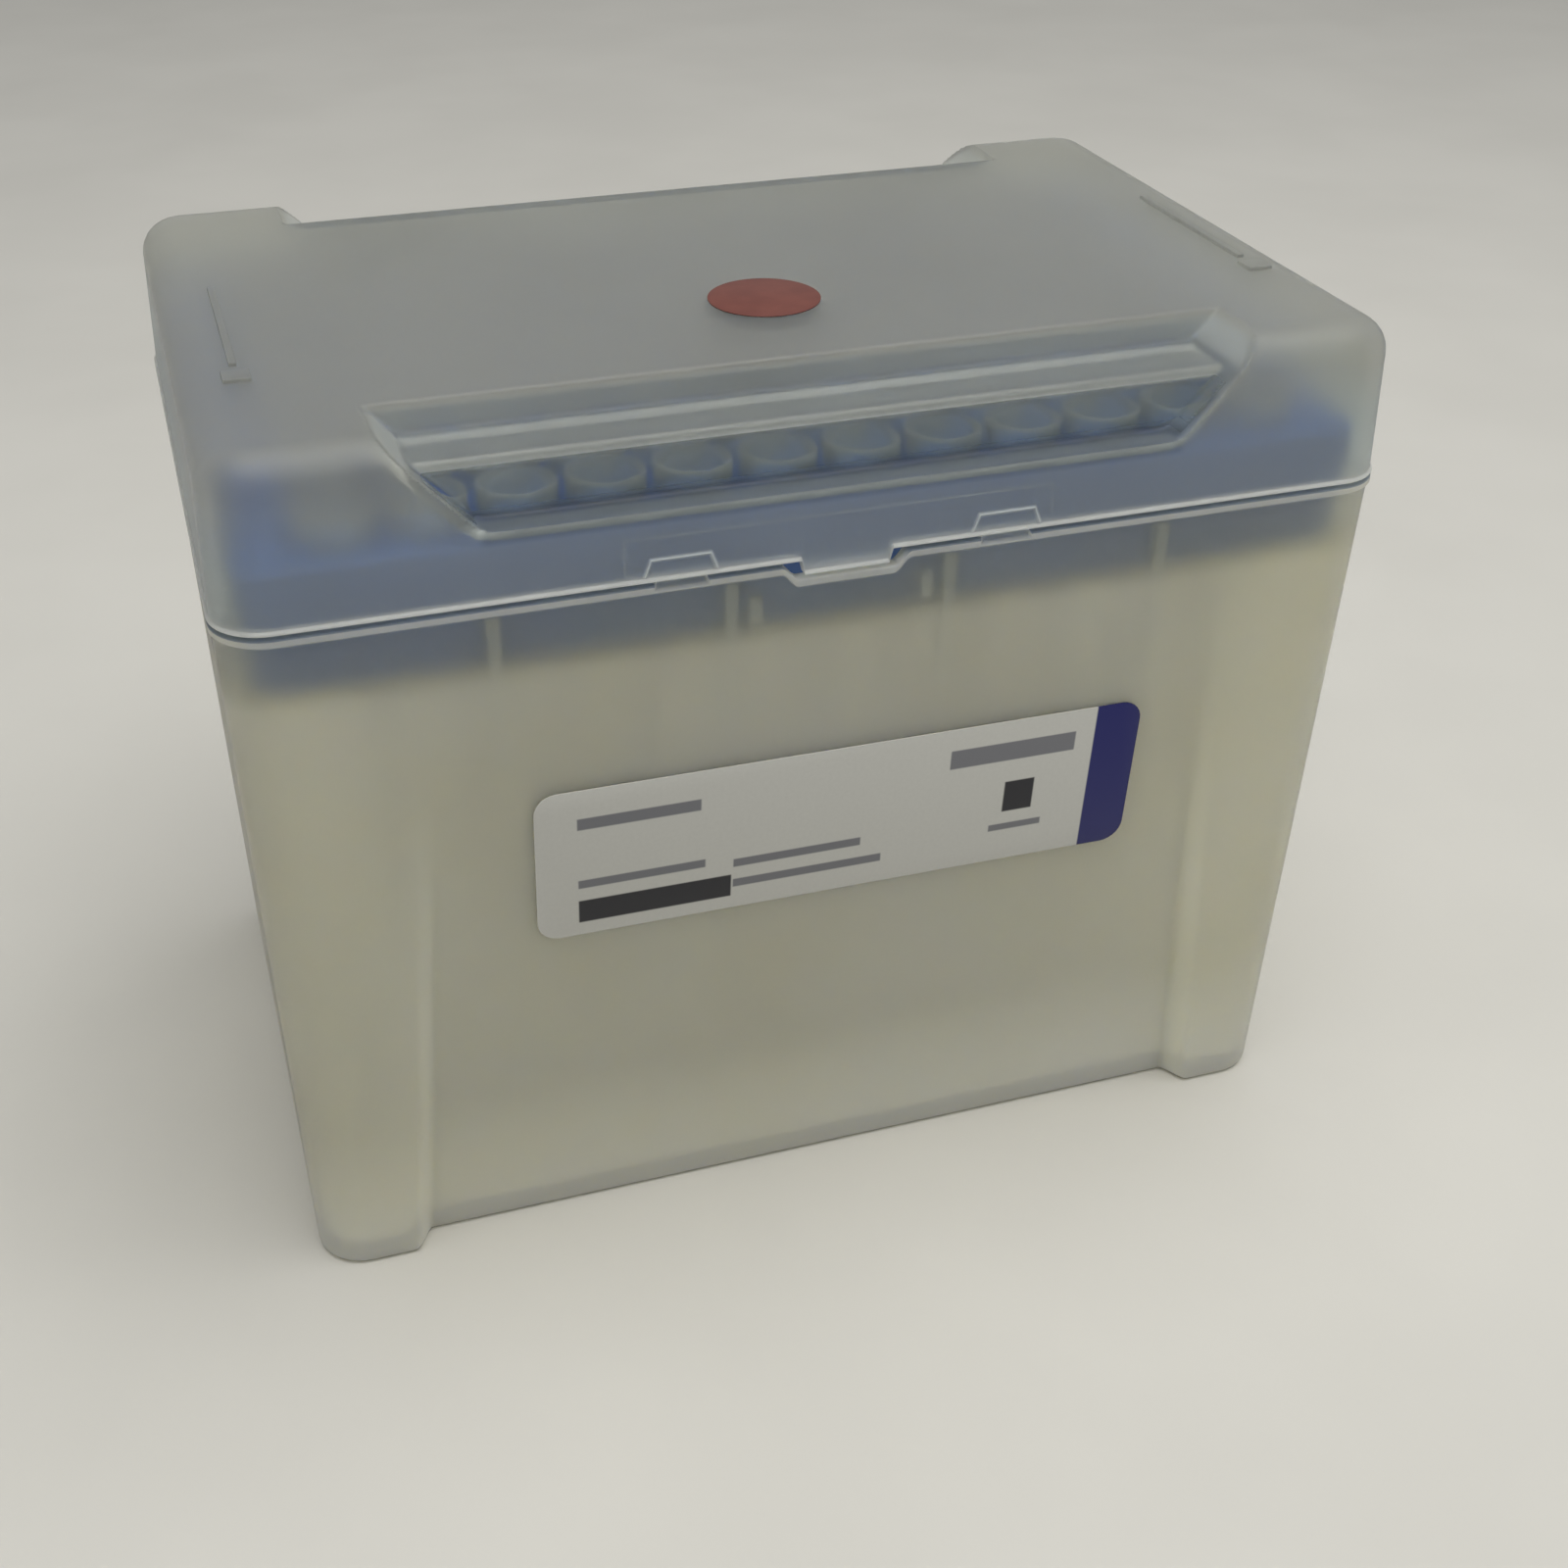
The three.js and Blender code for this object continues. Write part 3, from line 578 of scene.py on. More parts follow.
# %% Lid surface
SOFT_END = 0.45  # how softly the slanted ends run into the wall
ARCH = [(13.5, 0.0), (14.3, 2.1), (20.4, 2.1), (21.2, 0.0)]  # |x| and height over the edge of its corners
LATCH_ROOM, LATCH_ROOM_X, LATCH_ROOM_UP = 0.4, 22.8, 3.9  # the wall is thinner inside, behind the latch


def soft_min(a, b, k):
    """Smaller of a and b, with the change-over rounded over k."""
    h = np.clip(0.5 + 0.5 * (b - a) / k, 0, 1)
    return b * (1 - h) + a * h - k * h * (1 - h)


def tongue_drop(x):
    """How far the latch's tongue hangs below the lid's edge: LATCH in the middle, with slanted sides."""
    return LATCH * np.clip((TONGUE_X - np.abs(x)) / SLANT, 0, 1)


def arch_distance(x, height):
    """Distance from the outline of the arches: the least one to its three segments."""
    a = np.abs(x)
    nearest = np.full(np.broadcast(a, height).shape, np.inf)
    for (x0, h0), (x1, h1) in zip(ARCH, ARCH[1:]):
        dx, dh = x1 - x0, h1 - h0
        t = np.clip(((a - x0) * dx + (height - h0) * dh) / (dx**2 + dh**2), 0, 1)
        nearest = np.minimum(nearest, np.hypot(a - x0 - t * dx, height - h0 - t * dh))
    return nearest


def lid_skin(plan, inset, t):
    """Grid of one skin of the lid, level by level inward from its lower edge."""
    (e, height), (e_cut, _) = lid_sections(inset, t)
    e, height, reach = e[:, None], height[:, None], np.maximum(e_cut - e, 0)[:, None]
    e_x = np.where(e < 5, e, 5 + 0.25 * (e - 5))
    half_x, half_y = BOX_X - LIP_PROUD - inset, BOX_Y - LIP_PROUD - inset
    x, y = outline(plan, half_x - e_x, half_y - e, np.maximum(CORNER - inset - e, 1.0))
    sideways = inset * (math.hypot(1, RECESS_SLOPE) - RECESS_SLOPE)
    over = (np.abs(x) - RECESS_X - sideways) / RECESS_SLOPE
    ground = RECESS_FLOOR - inset + 0.5 * (over + np.sqrt(over**2 + 0.5))
    room = np.maximum(height - ground, 0)
    shift = np.clip(soft_min(reach + 0 * room, room, SOFT_END), 0, None)
    side = plan[:, 5][None, :]
    y = y - side * shift
    z = height - np.abs(side) * shift
    if inset > 0:
        within = smoothstep(LATCH_ROOM_X + 0.1, LATCH_ROOM_X - 0.1, np.abs(x))
        under = smoothstep(LID_EDGE + LATCH_ROOM_UP + 0.1, LID_EDGE + LATCH_ROOM_UP - 0.1, z)
        y = y + LATCH_ROOM * within * under * (side < 0)
    return x, y, z, shift


print("lid surface: arches", ARCH[1][1], "mm high")

# %% [markdown]
# The lid's two skins and a narrow lip make one closed piece. A Solidify modifier would thicken a single
# skin, but it would pinch in the recess's tight corners. The samples lie close together where the form
# turns, at the recess's ends and the latch, and far apart on the straight runs.

# %% Lid shell
EVEN_RUNS = [(0, 33, 3), (51, 57, 1)]
BEAD, BEAD_WIDTH = 0.2, 0.16  # relief and width of the arches' thin line

lid_front_x = samples(
    *EVEN_RUNS,
    (TONGUE_X - 0.5, TONGUE_X + 0.1, 0.1),
    (13.2, 14.6, 0.1),
    (20.1, 21.5, 0.1),
    (LATCH_ROOM_X - 0.2, LATCH_ROOM_X + 0.2, 0.1),
    (34, 50.5, 0.3),
)
lid_plan = plan_template(lid_front_x, samples(*EVEN_RUNS, (34, 50.5, 0.45)))
lid_height = LID_TOP - LID_EDGE
edge_rows = [np.arange(0.4, 2.7, 0.12), np.linspace(3.2, 6.4, 7)]
outer_rows = np.concatenate([*edge_rows, np.arange(6.6, lid_height + 13.2, 0.22), [lid_height + 15]])
inner_edge_rows = [np.arange(0.35, 3.6, 0.5), np.arange(3.7, 4.5, 0.12)]
inner_rows = np.concatenate([*inner_edge_rows, np.arange(4.8, lid_height + 10.8, 0.33), [lid_height + 13]])
ox, oy, oz, outer_shift = lid_skin(lid_plan, 0, LID_EDGE + outer_rows)
ix, iy, iz, inner_shift = lid_skin(lid_plan, LID_WALL, LID_EDGE + inner_rows)
lid_front = lid_plan[:, 5][None, :] < 0
bead = np.exp(-((arch_distance(ox, oz - LID_EDGE) / BEAD_WIDTH) ** 2)) * lid_front
oy = oy - BEAD * bead

lip_foot = LID_EDGE - 0.2
inner_lip = arc((-LID_WALL + 0.2, lip_foot + 0.2), 0.2, 180, 270, 5)
outer_lip = arc((LIP_PROUD - 0.12, lip_foot + 0.12), 0.12, -90, 0, 5)
lip_top = [[LIP_PROUD, LID_EDGE + 0.02], [LIP_PROUD - 0.04, LID_EDGE + 0.1], [0.02, LID_EDGE + 0.24]]
lip_section = np.concatenate([inner_lip, outer_lip, lip_top])
lip_out, lip_z = lip_section[:, :1], lip_section[:, 1:]
lip_x, lip_y = BOX_X - LIP_PROUD + lip_out, BOX_Y - LIP_PROUD + lip_out
lx, ly = outline(lid_plan, lip_x, lip_y, np.maximum(CORNER + lip_out, 1.0))
x = np.concatenate([ix[::-1], lx, ox])
y = np.concatenate([iy[::-1], ly, oy])
z = np.concatenate([iz[::-1], lip_z + 0 * lx, oz])
fade = np.clip((LID_EDGE + 3.0 - z) / 2.6, 0, 1)
moved = z - lid_front * tongue_drop(x) * fade
lid = shell_object("lid_shell", np.stack([x, y, moved], axis=-1), "lid")
print("lid shell:", len(lid.data.vertices), "points")

# %% [markdown]
# The lid's plastic is clarified, so it is clearer than the base. Its lip and the raised arches are milky
# and show as bright lines. The recess is polished: clearest on its wall, where the collars show, and
# milkier on the upper ledge. The tints cool the wall, and painted shade darkens the top and the recess,
# most of all on the low ledge and its front edge.

# %% Lid clearness
WALL_CLEARNESS = [(LID_EDGE + 0.05, 0.55), (LID_EDGE + 0.3, 0.885), (LID_EDGE + 5.2, 0.885)]
TOP_CLEARNESS = [(LID_EDGE + 6.7, 0.91), (LID_TOP - 5.7, 0.91), (LID_TOP - 2.7, 0.93)]
LEDGE_CLEARNESS = [(RECESS_FLOOR - 0.3, 0.92), (RECESS_FLOOR + 0.7, 0.965)]
STEP_CLEARNESS = [(STEP - 1.0, 0.965), (STEP - 0.6, 0.94), (STEP + 0.3, 0.94), (STEP + 0.6, 0.79)]
# painted shade in the recess by height: darkest at the low ledge and none from the upper ledge up
LEDGE_SHADE = [(RECESS_FLOOR + 0.2, 0.56), (RECESS_FLOOR + 0.9, 0.96)]
STEP_SHADE = [(STEP - 1.0, 0.95), (STEP - 0.2, 1.0)]
TONGUE_CLEARNESS, ARCH_CLEARNESS = 0.8, 0.45
# the first cools the wall; the other two are painted shade: a darker top and a cool cast for the recess's
# shade
WALL_TINT, TOP_SHADE_TINT, RECESS_SHADE_TINT = (0.93, 0.98, 1.0), (0.93, 0.93, 0.905), (0.97, 1, 1.03)

in_recess = smoothstep(0.2, 0.9, np.concatenate([inner_shift[::-1], 0 * lx, outer_shift]))
# painted shade: the low ledge's front edge is darkened together with the recess
low_edge = smoothstep(RECESS_FLOOR - 1.4, RECESS_FLOOR - 0.6, z) * (z < RECESS_FLOOR + 0.3)
low_edge = low_edge * smoothstep(RECESS_X + 0.8, RECESS_X - 0.4, np.abs(x)) * (np.abs(y) > BOX_Y - 2.5)
in_recess = np.maximum(in_recess, low_edge)
on_tongue = lid_front * (np.abs(x) < TONGUE_X) * smoothstep(LID_EDGE, LID_EDGE - 0.6, moved) * (z > 85)
on_arch = np.concatenate([0 * iz, 0 * lx, bead])
clear = by_height(z, WALL_CLEARNESS + TOP_CLEARNESS)
clear = blend(clear, by_height(z, LEDGE_CLEARNESS + STEP_CLEARNESS), in_recess)
clear = blend(blend(clear, TONGUE_CLEARNESS, on_tongue), ARCH_CLEARNESS, on_arch)
shade = blend_tint(1, WALL_TINT, smoothstep(85.0, 85.6, z))
# painted shade: the top is made darker
shade = blend_tint(shade, TOP_SHADE_TINT, smoothstep(90, 99, z))
# painted shade in the recess, slightly cooled and deepest on the low ledge
recess_shade = by_height(z, LEDGE_SHADE + STEP_SHADE)[..., None] * np.array(RECESS_SHADE_TINT)
shade = shade * blend_tint(1, recess_shade, in_recess)
paint(lid, clear.ravel(), shade.reshape(-1, 3))
print("lid clearness from", round(float(clear.min()), 2), "to", round(float(clear.max()), 3))

# %% [markdown]
# A low ridge and a square nub at each end of the lid's top keep a stacked box in place. Plain bars that
# reach a little into the lid will do, because only their edges show.

# %% Stacking ridges
RIDGE_X, RIDGE_RISE = 56, 0.4
RIDGE_HALF, RIDGE_Y, NUB_HALF, NUB_Y = 0.4, (-15.6, 8.4), 1.4, (-20.1, -17.3)

marks = []
low, high = LID_TOP - RIDGE_RISE, LID_TOP + RIDGE_RISE
for centre in (-RIDGE_X, RIDGE_X):
    marks += [
        bar(centre - RIDGE_HALF, centre + RIDGE_HALF, *RIDGE_Y, low, high),
        bar(centre - NUB_HALF, centre + NUB_HALF, *NUB_Y, low, high),
    ]
stops = new_object("stacking_ridges", *joined(marks), "lid")
soften(stops, 0.15, 3)
paint(stops, 0.93)
print("stacking ridges:", len(marks), "bars")

# %% [markdown]
# An eye is a lug with a bore that turns on the base's pin. A Boolean cut would leave long thin faces
# round the bore. Here the outline and the bore get the same number of points, in the same directions from
# the axis, and plain quads join them.

# %% Hinge eyes
def ring_prism(outer, inner, x0, x1):
    """Prism along x of the region between an outer outline and a round bore with as many points."""
    n = len(outer)
    loops = [np.column_stack([np.full(n, end), ring]) for end in (x0, x1) for ring in (outer, inner)]
    i, j = np.arange(n), (np.arange(n) + 1) % n
    faces = [
        np.stack([i, j, j + 2 * n, i + 2 * n], axis=1),
        np.stack([i + n, i + 3 * n, j + 3 * n, j + n], axis=1),
        np.stack([i, i + n, j + n, j], axis=1),
        np.stack([i + 2 * n, j + 2 * n, j + 3 * n, i + 3 * n], axis=1),
    ]
    return np.concatenate(loops), np.concatenate(faces).tolist()


def cross(a, b):
    """Cross product of plane vectors: a0 b1 - a1 b0."""
    return a[..., 0] * b[..., 1] - a[..., 1] * b[..., 0]


def resampled(ring, angles):
    """Point of a convex outline in each direction from the hinge's axis: where a ray meets a side."""
    ring = np.asarray(ring)
    centre = np.array([HINGE_Y, HINGE_Z])
    rays = np.stack([np.cos(angles), np.sin(angles)], axis=1)
    start, side = ring - centre, np.roll(ring, -1, axis=0) - ring
    facing = cross(rays[:, None], side[None])
    facing = np.where(np.abs(facing) < 1e-9, 1e-9, facing)
    distance = cross(start, side)[None] / facing
    along = cross(start[None], rays[:, None]) / facing
    hits = (along >= -1e-6) & (along <= 1 + 1e-6) & (distance > 0)
    return centre + rays * np.where(hits, distance, np.inf).min(axis=1)[:, None]


eye_wall = BOX_Y - LIP_PROUD - 0.5
eye_foot = [(eye_wall, LID_EDGE + 0.3), (eye_wall, HINGE_Z + EYE + 5)]
eye_outline = hull(np.concatenate([disc(EYE), eye_foot]))
away = np.array([HINGE_Y, HINGE_Z]) - np.array(eye_outline)
corner_spokes = np.arctan2(away[:, 1], away[:, 0]) % TAU + math.pi
spokes = np.unique(np.concatenate([np.linspace(0, TAU, 72, endpoint=False), corner_spokes]) % TAU)
spokes = spokes[np.concatenate([[True], np.diff(spokes) > 0.01])]
eye_ring = resampled(eye_outline, spokes)
bore_ring = np.array([HINGE_Y, HINGE_Z]) + EYE_BORE * np.stack([np.cos(spokes), np.sin(spokes)], axis=1)
eye_parts = [ring_prism(eye_ring, bore_ring, m - EYE_END, m + EYE_END) for m in (-HINGE_X, HINGE_X)]
eyes = new_object("hinge_eyes", *joined(eye_parts), "lid")
soften(eyes, 0.2, 3)
paint(eyes, 0.85)
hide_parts("lid")
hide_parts("lid")
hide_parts("lid")
print("hinge eyes:", len(spokes), "points round each bore")

# %% [markdown]
# The tray is an upturned shallow tub: a flat deck that carries the tips, and a skirt that stands on the
# ledges. It is drawn from under the deck, round the skirt's foot and over the deck's rounded edge. Its
# holes are left out, because the tips' collars cover them.

# %% Tray
tray_plan = plan_template(samples((0, 57, 3)))
deck_under = DECK - DECK_T
tray_section = np.concatenate(
    [
        [[-4.0, deck_under], [-TRAY_WALL - 1.0, deck_under]],
        arc((-TRAY_WALL - 0.6, deck_under - 0.6), 0.6, 90, 0, 5),
        [[-TRAY_WALL, TRAY_FOOT + 0.2]],
        arc((-TRAY_WALL / 2, TRAY_FOOT + 0.3), 0.3, 180, 360, 7),
        [[0.0, TRAY_FOOT + 1.0], [0.0, DECK - 1.2]],
        arc((-0.7, DECK - 0.7), 0.7, 0, 90, 7),
        [[-4.0, DECK]],
    ]
)
out, z = tray_section[:, :1], tray_section[:, 1:]
lean = 0.6 * np.clip((DECK - z) / (DECK - TRAY_FOOT), 0, 1)
x, y = outline(tray_plan, TRAY_X + out - lean, TRAY_Y + out - lean, np.maximum(2.9 + out, 0.8))
tray = shell_object("tray_shell", np.stack([x, y, z + 0 * x], axis=-1), "box")
print("tray shell:", len(tray.data.vertices), "points")

# %% [markdown]
# A tip is turned: one section spun about its axis, with a wide mouth for the pipette's nose, a collar
# that rests on the deck and a long cone that narrows in steps. A Screw modifier would spin it too. The
# grid helper gives all 96 tips the same mesh in one line.

# %% Tips
TIP_SIDES = 28


def tip_section():
    """[radius, height] of a tip's section: its end, the cones, the collar, the mouth and the bore."""
    cone = [(0.42, 0), (0.66, 0), (0.75, 0.25), (1.05, 6), (1.9, 22), (2.35, 36), (2.75, 37.2), (3.35, 58)]
    outside = [(radius, TIP_END + height) for radius, height in cone]
    collar = [(3.55, DECK - 0.05), (3.95, DECK), (4.1, DECK + 0.15), (4.1, TIP_TOP - 0.3)]
    mouth = [(3.98, 0.06), (3.8, 0), (3.55, 0), (3.4, 0.25), (2.9, 9), (2.7, 12)]
    inside = [(radius, TIP_TOP - depth) for radius, depth in mouth]
    bore = [(2.0, TIP_END + 36), (1.5, TIP_END + 22), (0.42, TIP_END + 2)]
    return np.array(outside + collar + inside + bore)


def tip_points(column, row):
    """Points of the turned tip at its place in the grid."""
    radius, height = tip_section().T
    angle = np.linspace(0, TAU, TIP_SIDES, endpoint=False)
    x = (column - (COLUMNS - 1) / 2) * PITCH + radius[:, None] * np.cos(angle)
    y = (row - (ROWS - 1) / 2) * PITCH + radius[:, None] * np.sin(angle)
    return np.stack([x, y, height[:, None] + 0 * x], axis=-1).reshape(-1, 3)


tip_quads = wrapped_quads(len(tip_section()), TIP_SIDES, close_levels=True)
if signed_volume(tip_points(5, 3), tip_quads) < 0:
    tip_quads = tip_quads[:, ::-1]
tips = []
for row in range(LOOSE_ROWS):
    for column in range(COLUMNS):
        name = f"tip_{'abcd'[row]}{column + 1}"
        tip = new_object(f"{name}_fine", tip_points(column, row), tip_quads.tolist(), "box", 50)
        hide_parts(name)
        tips.append(tip)
rest = [(tip_points(c, r), tip_quads.tolist()) for r in range(LOOSE_ROWS, ROWS) for c in range(COLUMNS)]
back_tips = new_object("tips_back_rows", *joined(rest), "box", 50)
tips.append(back_tips)
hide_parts("tray")
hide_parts("tray")
print("tips:", len(tips), "pieces of", len(tip_quads), "faces a tip")

# %% [markdown]
# The label and the dot are thin stickers. An image laid on the wall would have no edge at all. Each is a
# thin plate whose top is drawn in a little, so that its edge catches the light as cut paper does, and it
# carries a UV map in millimetres for its print. The label leans with the panel and is a little crooked,
# as real ones often are.

# %% Stickers
LABEL_X, LABEL_Z, LABEL_W, LABEL_H, LABEL_R, LABEL_TURN = 1.3, 51.4, 69.6, 19.5, 2.5, -0.4
DOT_PLACE, DOT_RADIUS, DOT_SIDES = (0.4, -12.3, LID_TOP), 6.1, 64


def label_frame():
    """Origin and the three directions of the label: along it, up it and out of it."""
    foot = BOX_Y - BAND_PROUD - TAPER_Y - PANEL_DEPTH
    slope = (wall_y(PANEL_TOP) - foot) / PANEL_TOP
    face = foot + slope * LABEL_Z
    along_wall = np.array([1.0, 0, 0])
    up_wall = np.array([0, -slope, 1]) / math.hypot(1, slope)
    outward = np.array([0, -1, -slope]) / math.hypot(1, slope)
    a = math.radians(LABEL_TURN)
    along = along_wall * math.cos(a) + up_wall * math.sin(a)
    upward = up_wall * math.cos(a) - along_wall * math.sin(a)
    return np.array([LABEL_X, -face, LABEL_Z]), along, upward, outward


def sticker(name, flat_ring, origin, along, upward, outward, body, gap=0.04, thickness=0.12):
    """Thin plate over a flat outline of (u, v) points, with UVs that run over the outline's box in mm."""
    flat_ring = np.asarray(flat_ring)
    size = np.abs(flat_ring).max(axis=0)
    levels = [(0.0, gap), (0.0, gap + thickness * 0.7), (0.08, gap + thickness)]
    rings = [(flat_ring * (1 - inset / size), height) for inset, height in levels]
    grid = [origin + ring[:, :1] * along + ring[:, 1:] * upward + outward * height for ring, height in rings]
    obj = shell_object(name, np.stack(grid), body, 30)
    uv = obj.data.uv_layers.new(name="sticker")
    local = (np.array([v.co for v in obj.data.vertices]) / MM) - origin
    pairs = np.stack([local @ along, local @ upward], axis=1)
    loops = np.empty(len(obj.data.loops), dtype=np.int32)
    obj.data.loops.foreach_get("vertex_index", loops)
    uv.data.foreach_set("uv", pairs[loops].astype(np.float32).ravel())
    return obj


def round_rectangle(width, height, radius, steps=8):
    """(u, v) outline of a rounded rectangle about the origin."""
    corners = [(1, 1, 0), (-1, 1, 90), (-1, -1, 180), (1, -1, 270)]
    runs = [
        arc((sx * (width / 2 - radius), sy * (height / 2 - radius)), radius, start, start + 90, steps)
        for sx, sy, start in corners
    ]
    return np.concatenate(runs)


label = sticker("label_sheet", round_rectangle(LABEL_W, LABEL_H, LABEL_R), *label_frame(), "box")
dot_ring = arc((0, 0), DOT_RADIUS, 0, 360 - 360 / DOT_SIDES, DOT_SIDES)
dot = sticker("dot_sheet", dot_ring, np.array(DOT_PLACE), *np.eye(3), "lid")
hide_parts("front_label")
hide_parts("indicator_dot")
print("stickers:", label.name, "and", dot.name)

# %% [markdown]
# Every material is one Principled shader, with its constants on the sockets and a few nodes for what
# varies. A colour is written as it is seen on a screen and turned into the linear value that light needs.
# The moulded grain is bump only, because it is finer than any mesh could be.

# %% Material helpers
def linear(hex_colour, alpha=1.0):
    """Hex sRGB colour as linear RGBA: ((c + 0.055) / 1.055) ^ 2.4, or c / 12.92 below 0.04045."""
    values = [int(hex_colour[i : i + 2], 16) / 255 for i in (1, 3, 5)]
    return (*[c / 12.92 if c <= 0.04045 else ((c + 0.055) / 1.055) ** 2.4 for c in values], alpha)


def material(name, **sockets):
    """Material of one Principled shader with its constant sockets set."""
    made = bpy.data.materials.new(name)
    made.use_nodes = True
    shader = made.node_tree.nodes["Principled BSDF"]
    for key, value in sockets.items():
        shader.inputs[key.replace("_", " ")].default_value = value
    return made, made.node_tree, shader


def node(tree, kind, inputs=None, **settings):
    """Adds a node, sets its properties, and sets or links its inputs."""
    made = tree.nodes.new(kind)
    for key, value in settings.items():
        setattr(made, key, value)
    for key, value in (inputs or {}).items():
        if isinstance(value, bpy.types.NodeSocket):
            tree.links.new(value, made.inputs[key])
        else:
            made.inputs[key].default_value = value
    return made


def moulded_texture(tree, shader, grain_mm, height_mm, strength=0.3, waviness_mm=0.0):
    """Fine moulded grain, and optionally the slow waviness of a thin wall, as bump in object space."""
    place = node(tree, "ShaderNodeTexCoord").outputs["Object"]
    fine = node(tree, "ShaderNodeTexNoise", {"Vector": place, "Scale": 1 / (grain_mm * MM), "Detail": 2.0})
    grain = {"Height": fine.outputs["Fac"], "Distance": height_mm * MM, "Strength": strength}
    bump = node(tree, "ShaderNodeBump", grain)
    if waviness_mm:
        slow = node(tree, "ShaderNodeTexNoise", {"Vector": place, "Scale": 1 / (28 * MM), "Detail": 1.0})
        wave = {"Height": slow.outputs["Fac"], "Distance": waviness_mm * MM, "Strength": 0.5}
        bump = node(tree, "ShaderNodeBump", {**wave, "Normal": bump.outputs["Normal"]})
    tree.links.new(bump.outputs["Normal"], shader.inputs["Normal"])
    return place


def vary_colour(tree, shader, place, low, high, scale_mm):
    """Base colour between two near shades by a slow noise."""
    noise = node(tree, "ShaderNodeTexNoise", {"Vector": place, "Scale": 1 / (scale_mm * MM), "Detail": 3.0})
    ramp = node(tree, "ShaderNodeValToRGB", {"Fac": noise.outputs["Fac"]})
    for element, position, shade in zip(ramp.color_ramp.elements, (0.35, 0.65), (low, high)):
        element.position = position
        element.color = linear(shade)
    tree.links.new(ramp.outputs["Color"], shader.inputs["Base Color"])


def clear_by_point(tree, shader):
    """Reads from the mesh how clear the plastic is, and multiplies its colour by the stored factor of tints
    and painted shade.
    """
    clear = node(tree, "ShaderNodeAttribute", attribute_name="clearness")
    tree.links.new(clear.outputs["Fac"], shader.inputs["Transmission Weight"])
    body_colour = shader.inputs["Base Color"].links[0].from_socket
    mix = node(tree, "ShaderNodeMix", {"Factor": 1.0}, data_type="RGBA", blend_type="MULTIPLY")
    tree.links.new(body_colour, mix.inputs["A"])
    tint_and_shade = node(tree, "ShaderNodeAttribute", attribute_name="tint_and_shade")
    tree.links.new(tint_and_shade.outputs["Vector"], mix.inputs["B"])
    tree.links.new(mix.outputs["Result"], shader.inputs["Base Color"])
    return clear.outputs["Fac"]


print("material helpers ready")

# %% [markdown]
# The box and its lid are polypropylene, which blurs what lies behind it. Glass would be too clear and
# plain white too solid, so part of the light goes through, by the clearness stored in the mesh, and the
# rest scatters inside. A low IOR and a broad roughness keep the light through the walls soft.

# %% Shell plastics
# Natural polypropylene from a matt mould. The eye gets a warm milky body that glows a little from within and
# has a broad, weak shine.
base_pp, tree, shader = material(
    "natural_polypropylene_matt_mould",
    Roughness=0.75,
    IOR=1.3,
    Subsurface_Weight=1.0,
    Subsurface_Radius=(1.0, 0.95, 0.75),
    Subsurface_Scale=3 * MM,
    Specular_IOR_Level=0.4,
    Coat_Weight=0.25,
    Coat_Roughness=0.3,
)
place = moulded_texture(tree, shader, 0.35, 0.02, 0.25, 0.05)
vary_colour(tree, shader, place, "#f4f2e0", "#f9f7e8", 30)
clear_by_point(tree, shader)

# The same plastic in a rib. The eye gets a faint pale bar behind the wall.
rib_pp, tree, shader = material(
    "natural_polypropylene_thick_rib",
    Roughness=0.5,
    IOR=1.3,
    Transmission_Weight=0.78,
)
place = moulded_texture(tree, shader, 0.35, 0.02, 0.25)
vary_colour(tree, shader, place, "#eef0ee", "#f4f5f2", 30)

# Clarified polypropylene with a light frost. The eye gets soft shapes through the lid, and sharper ones
# through the recess, where the plastic is clearest and its roughness falls.
lid_pp, tree, shader = material(
    "clarified_polypropylene_frosted",
    Roughness=0.42,
    IOR=1.35,
    Specular_IOR_Level=0.2,
)
place = moulded_texture(tree, shader, 0.3, 0.015, 0.2, 0.04)
vary_colour(tree, shader, place, "#ecede9", "#f1f2ee", 25)
clearness = clear_by_point(tree, shader)
gloss = {"Value": clearness, "From Min": 0.93, "From Max": 0.965, "To Min": 0.45, "To Max": 0.25}
tree.links.new(node(tree, "ShaderNodeMapRange", gloss).outputs["Result"], shader.inputs["Roughness"])
print("shell plastics:", base_pp.name, rib_pp.name, lid_pp.name)

# %% [markdown]
# The tray is coloured right through, so it needs little more than its blue. The tips are natural
# polypropylene again, but from a polished mould, so they are glossier and clearer than the base.

# %% Tray and tip plastics
# Blue polypropylene with a satin surface. The eye gets an even, slightly soft blue with a dull shine.
tray_pp, tree, shader = material(
    "blue_polypropylene_satin",
    Roughness=0.45,
    Subsurface_Weight=0.15,
    Subsurface_Scale=1 * MM,
    Subsurface_Radius=(0.4, 0.6, 1.0),
)
place = moulded_texture(tree, shader, 0.5, 0.02, 0.25)
vary_colour(tree, shader, place, "#4a6bb0", "#5274b8", 18)

# Natural polypropylene from a polished mould. The eye gets pale rings with a crisp small shine on each
# collar, and a trace of the blue deck through them.
tip_pp, tree, shader = material(
    "natural_polypropylene_polished_mould",
    Roughness=0.2,
    IOR=1.4,
    Transmission_Weight=0.74,
)
place = moulded_texture(tree, shader, 1.2, 0.01, 0.15)
vary_colour(tree, shader, place, "#f6f7f2", "#fbfcf8", 12)

uses = [(base_pp, [base, ears]), (rib_pp, [ledges]), (lid_pp, [lid, stops, eyes]), (tray_pp, [tray])]
for made, pieces in [*uses, (tip_pp, tips)]:
    for piece in pieces:
        piece.data.materials.append(made)
print("tray and tip plastics:", tray_pp.name, tip_pp.name)

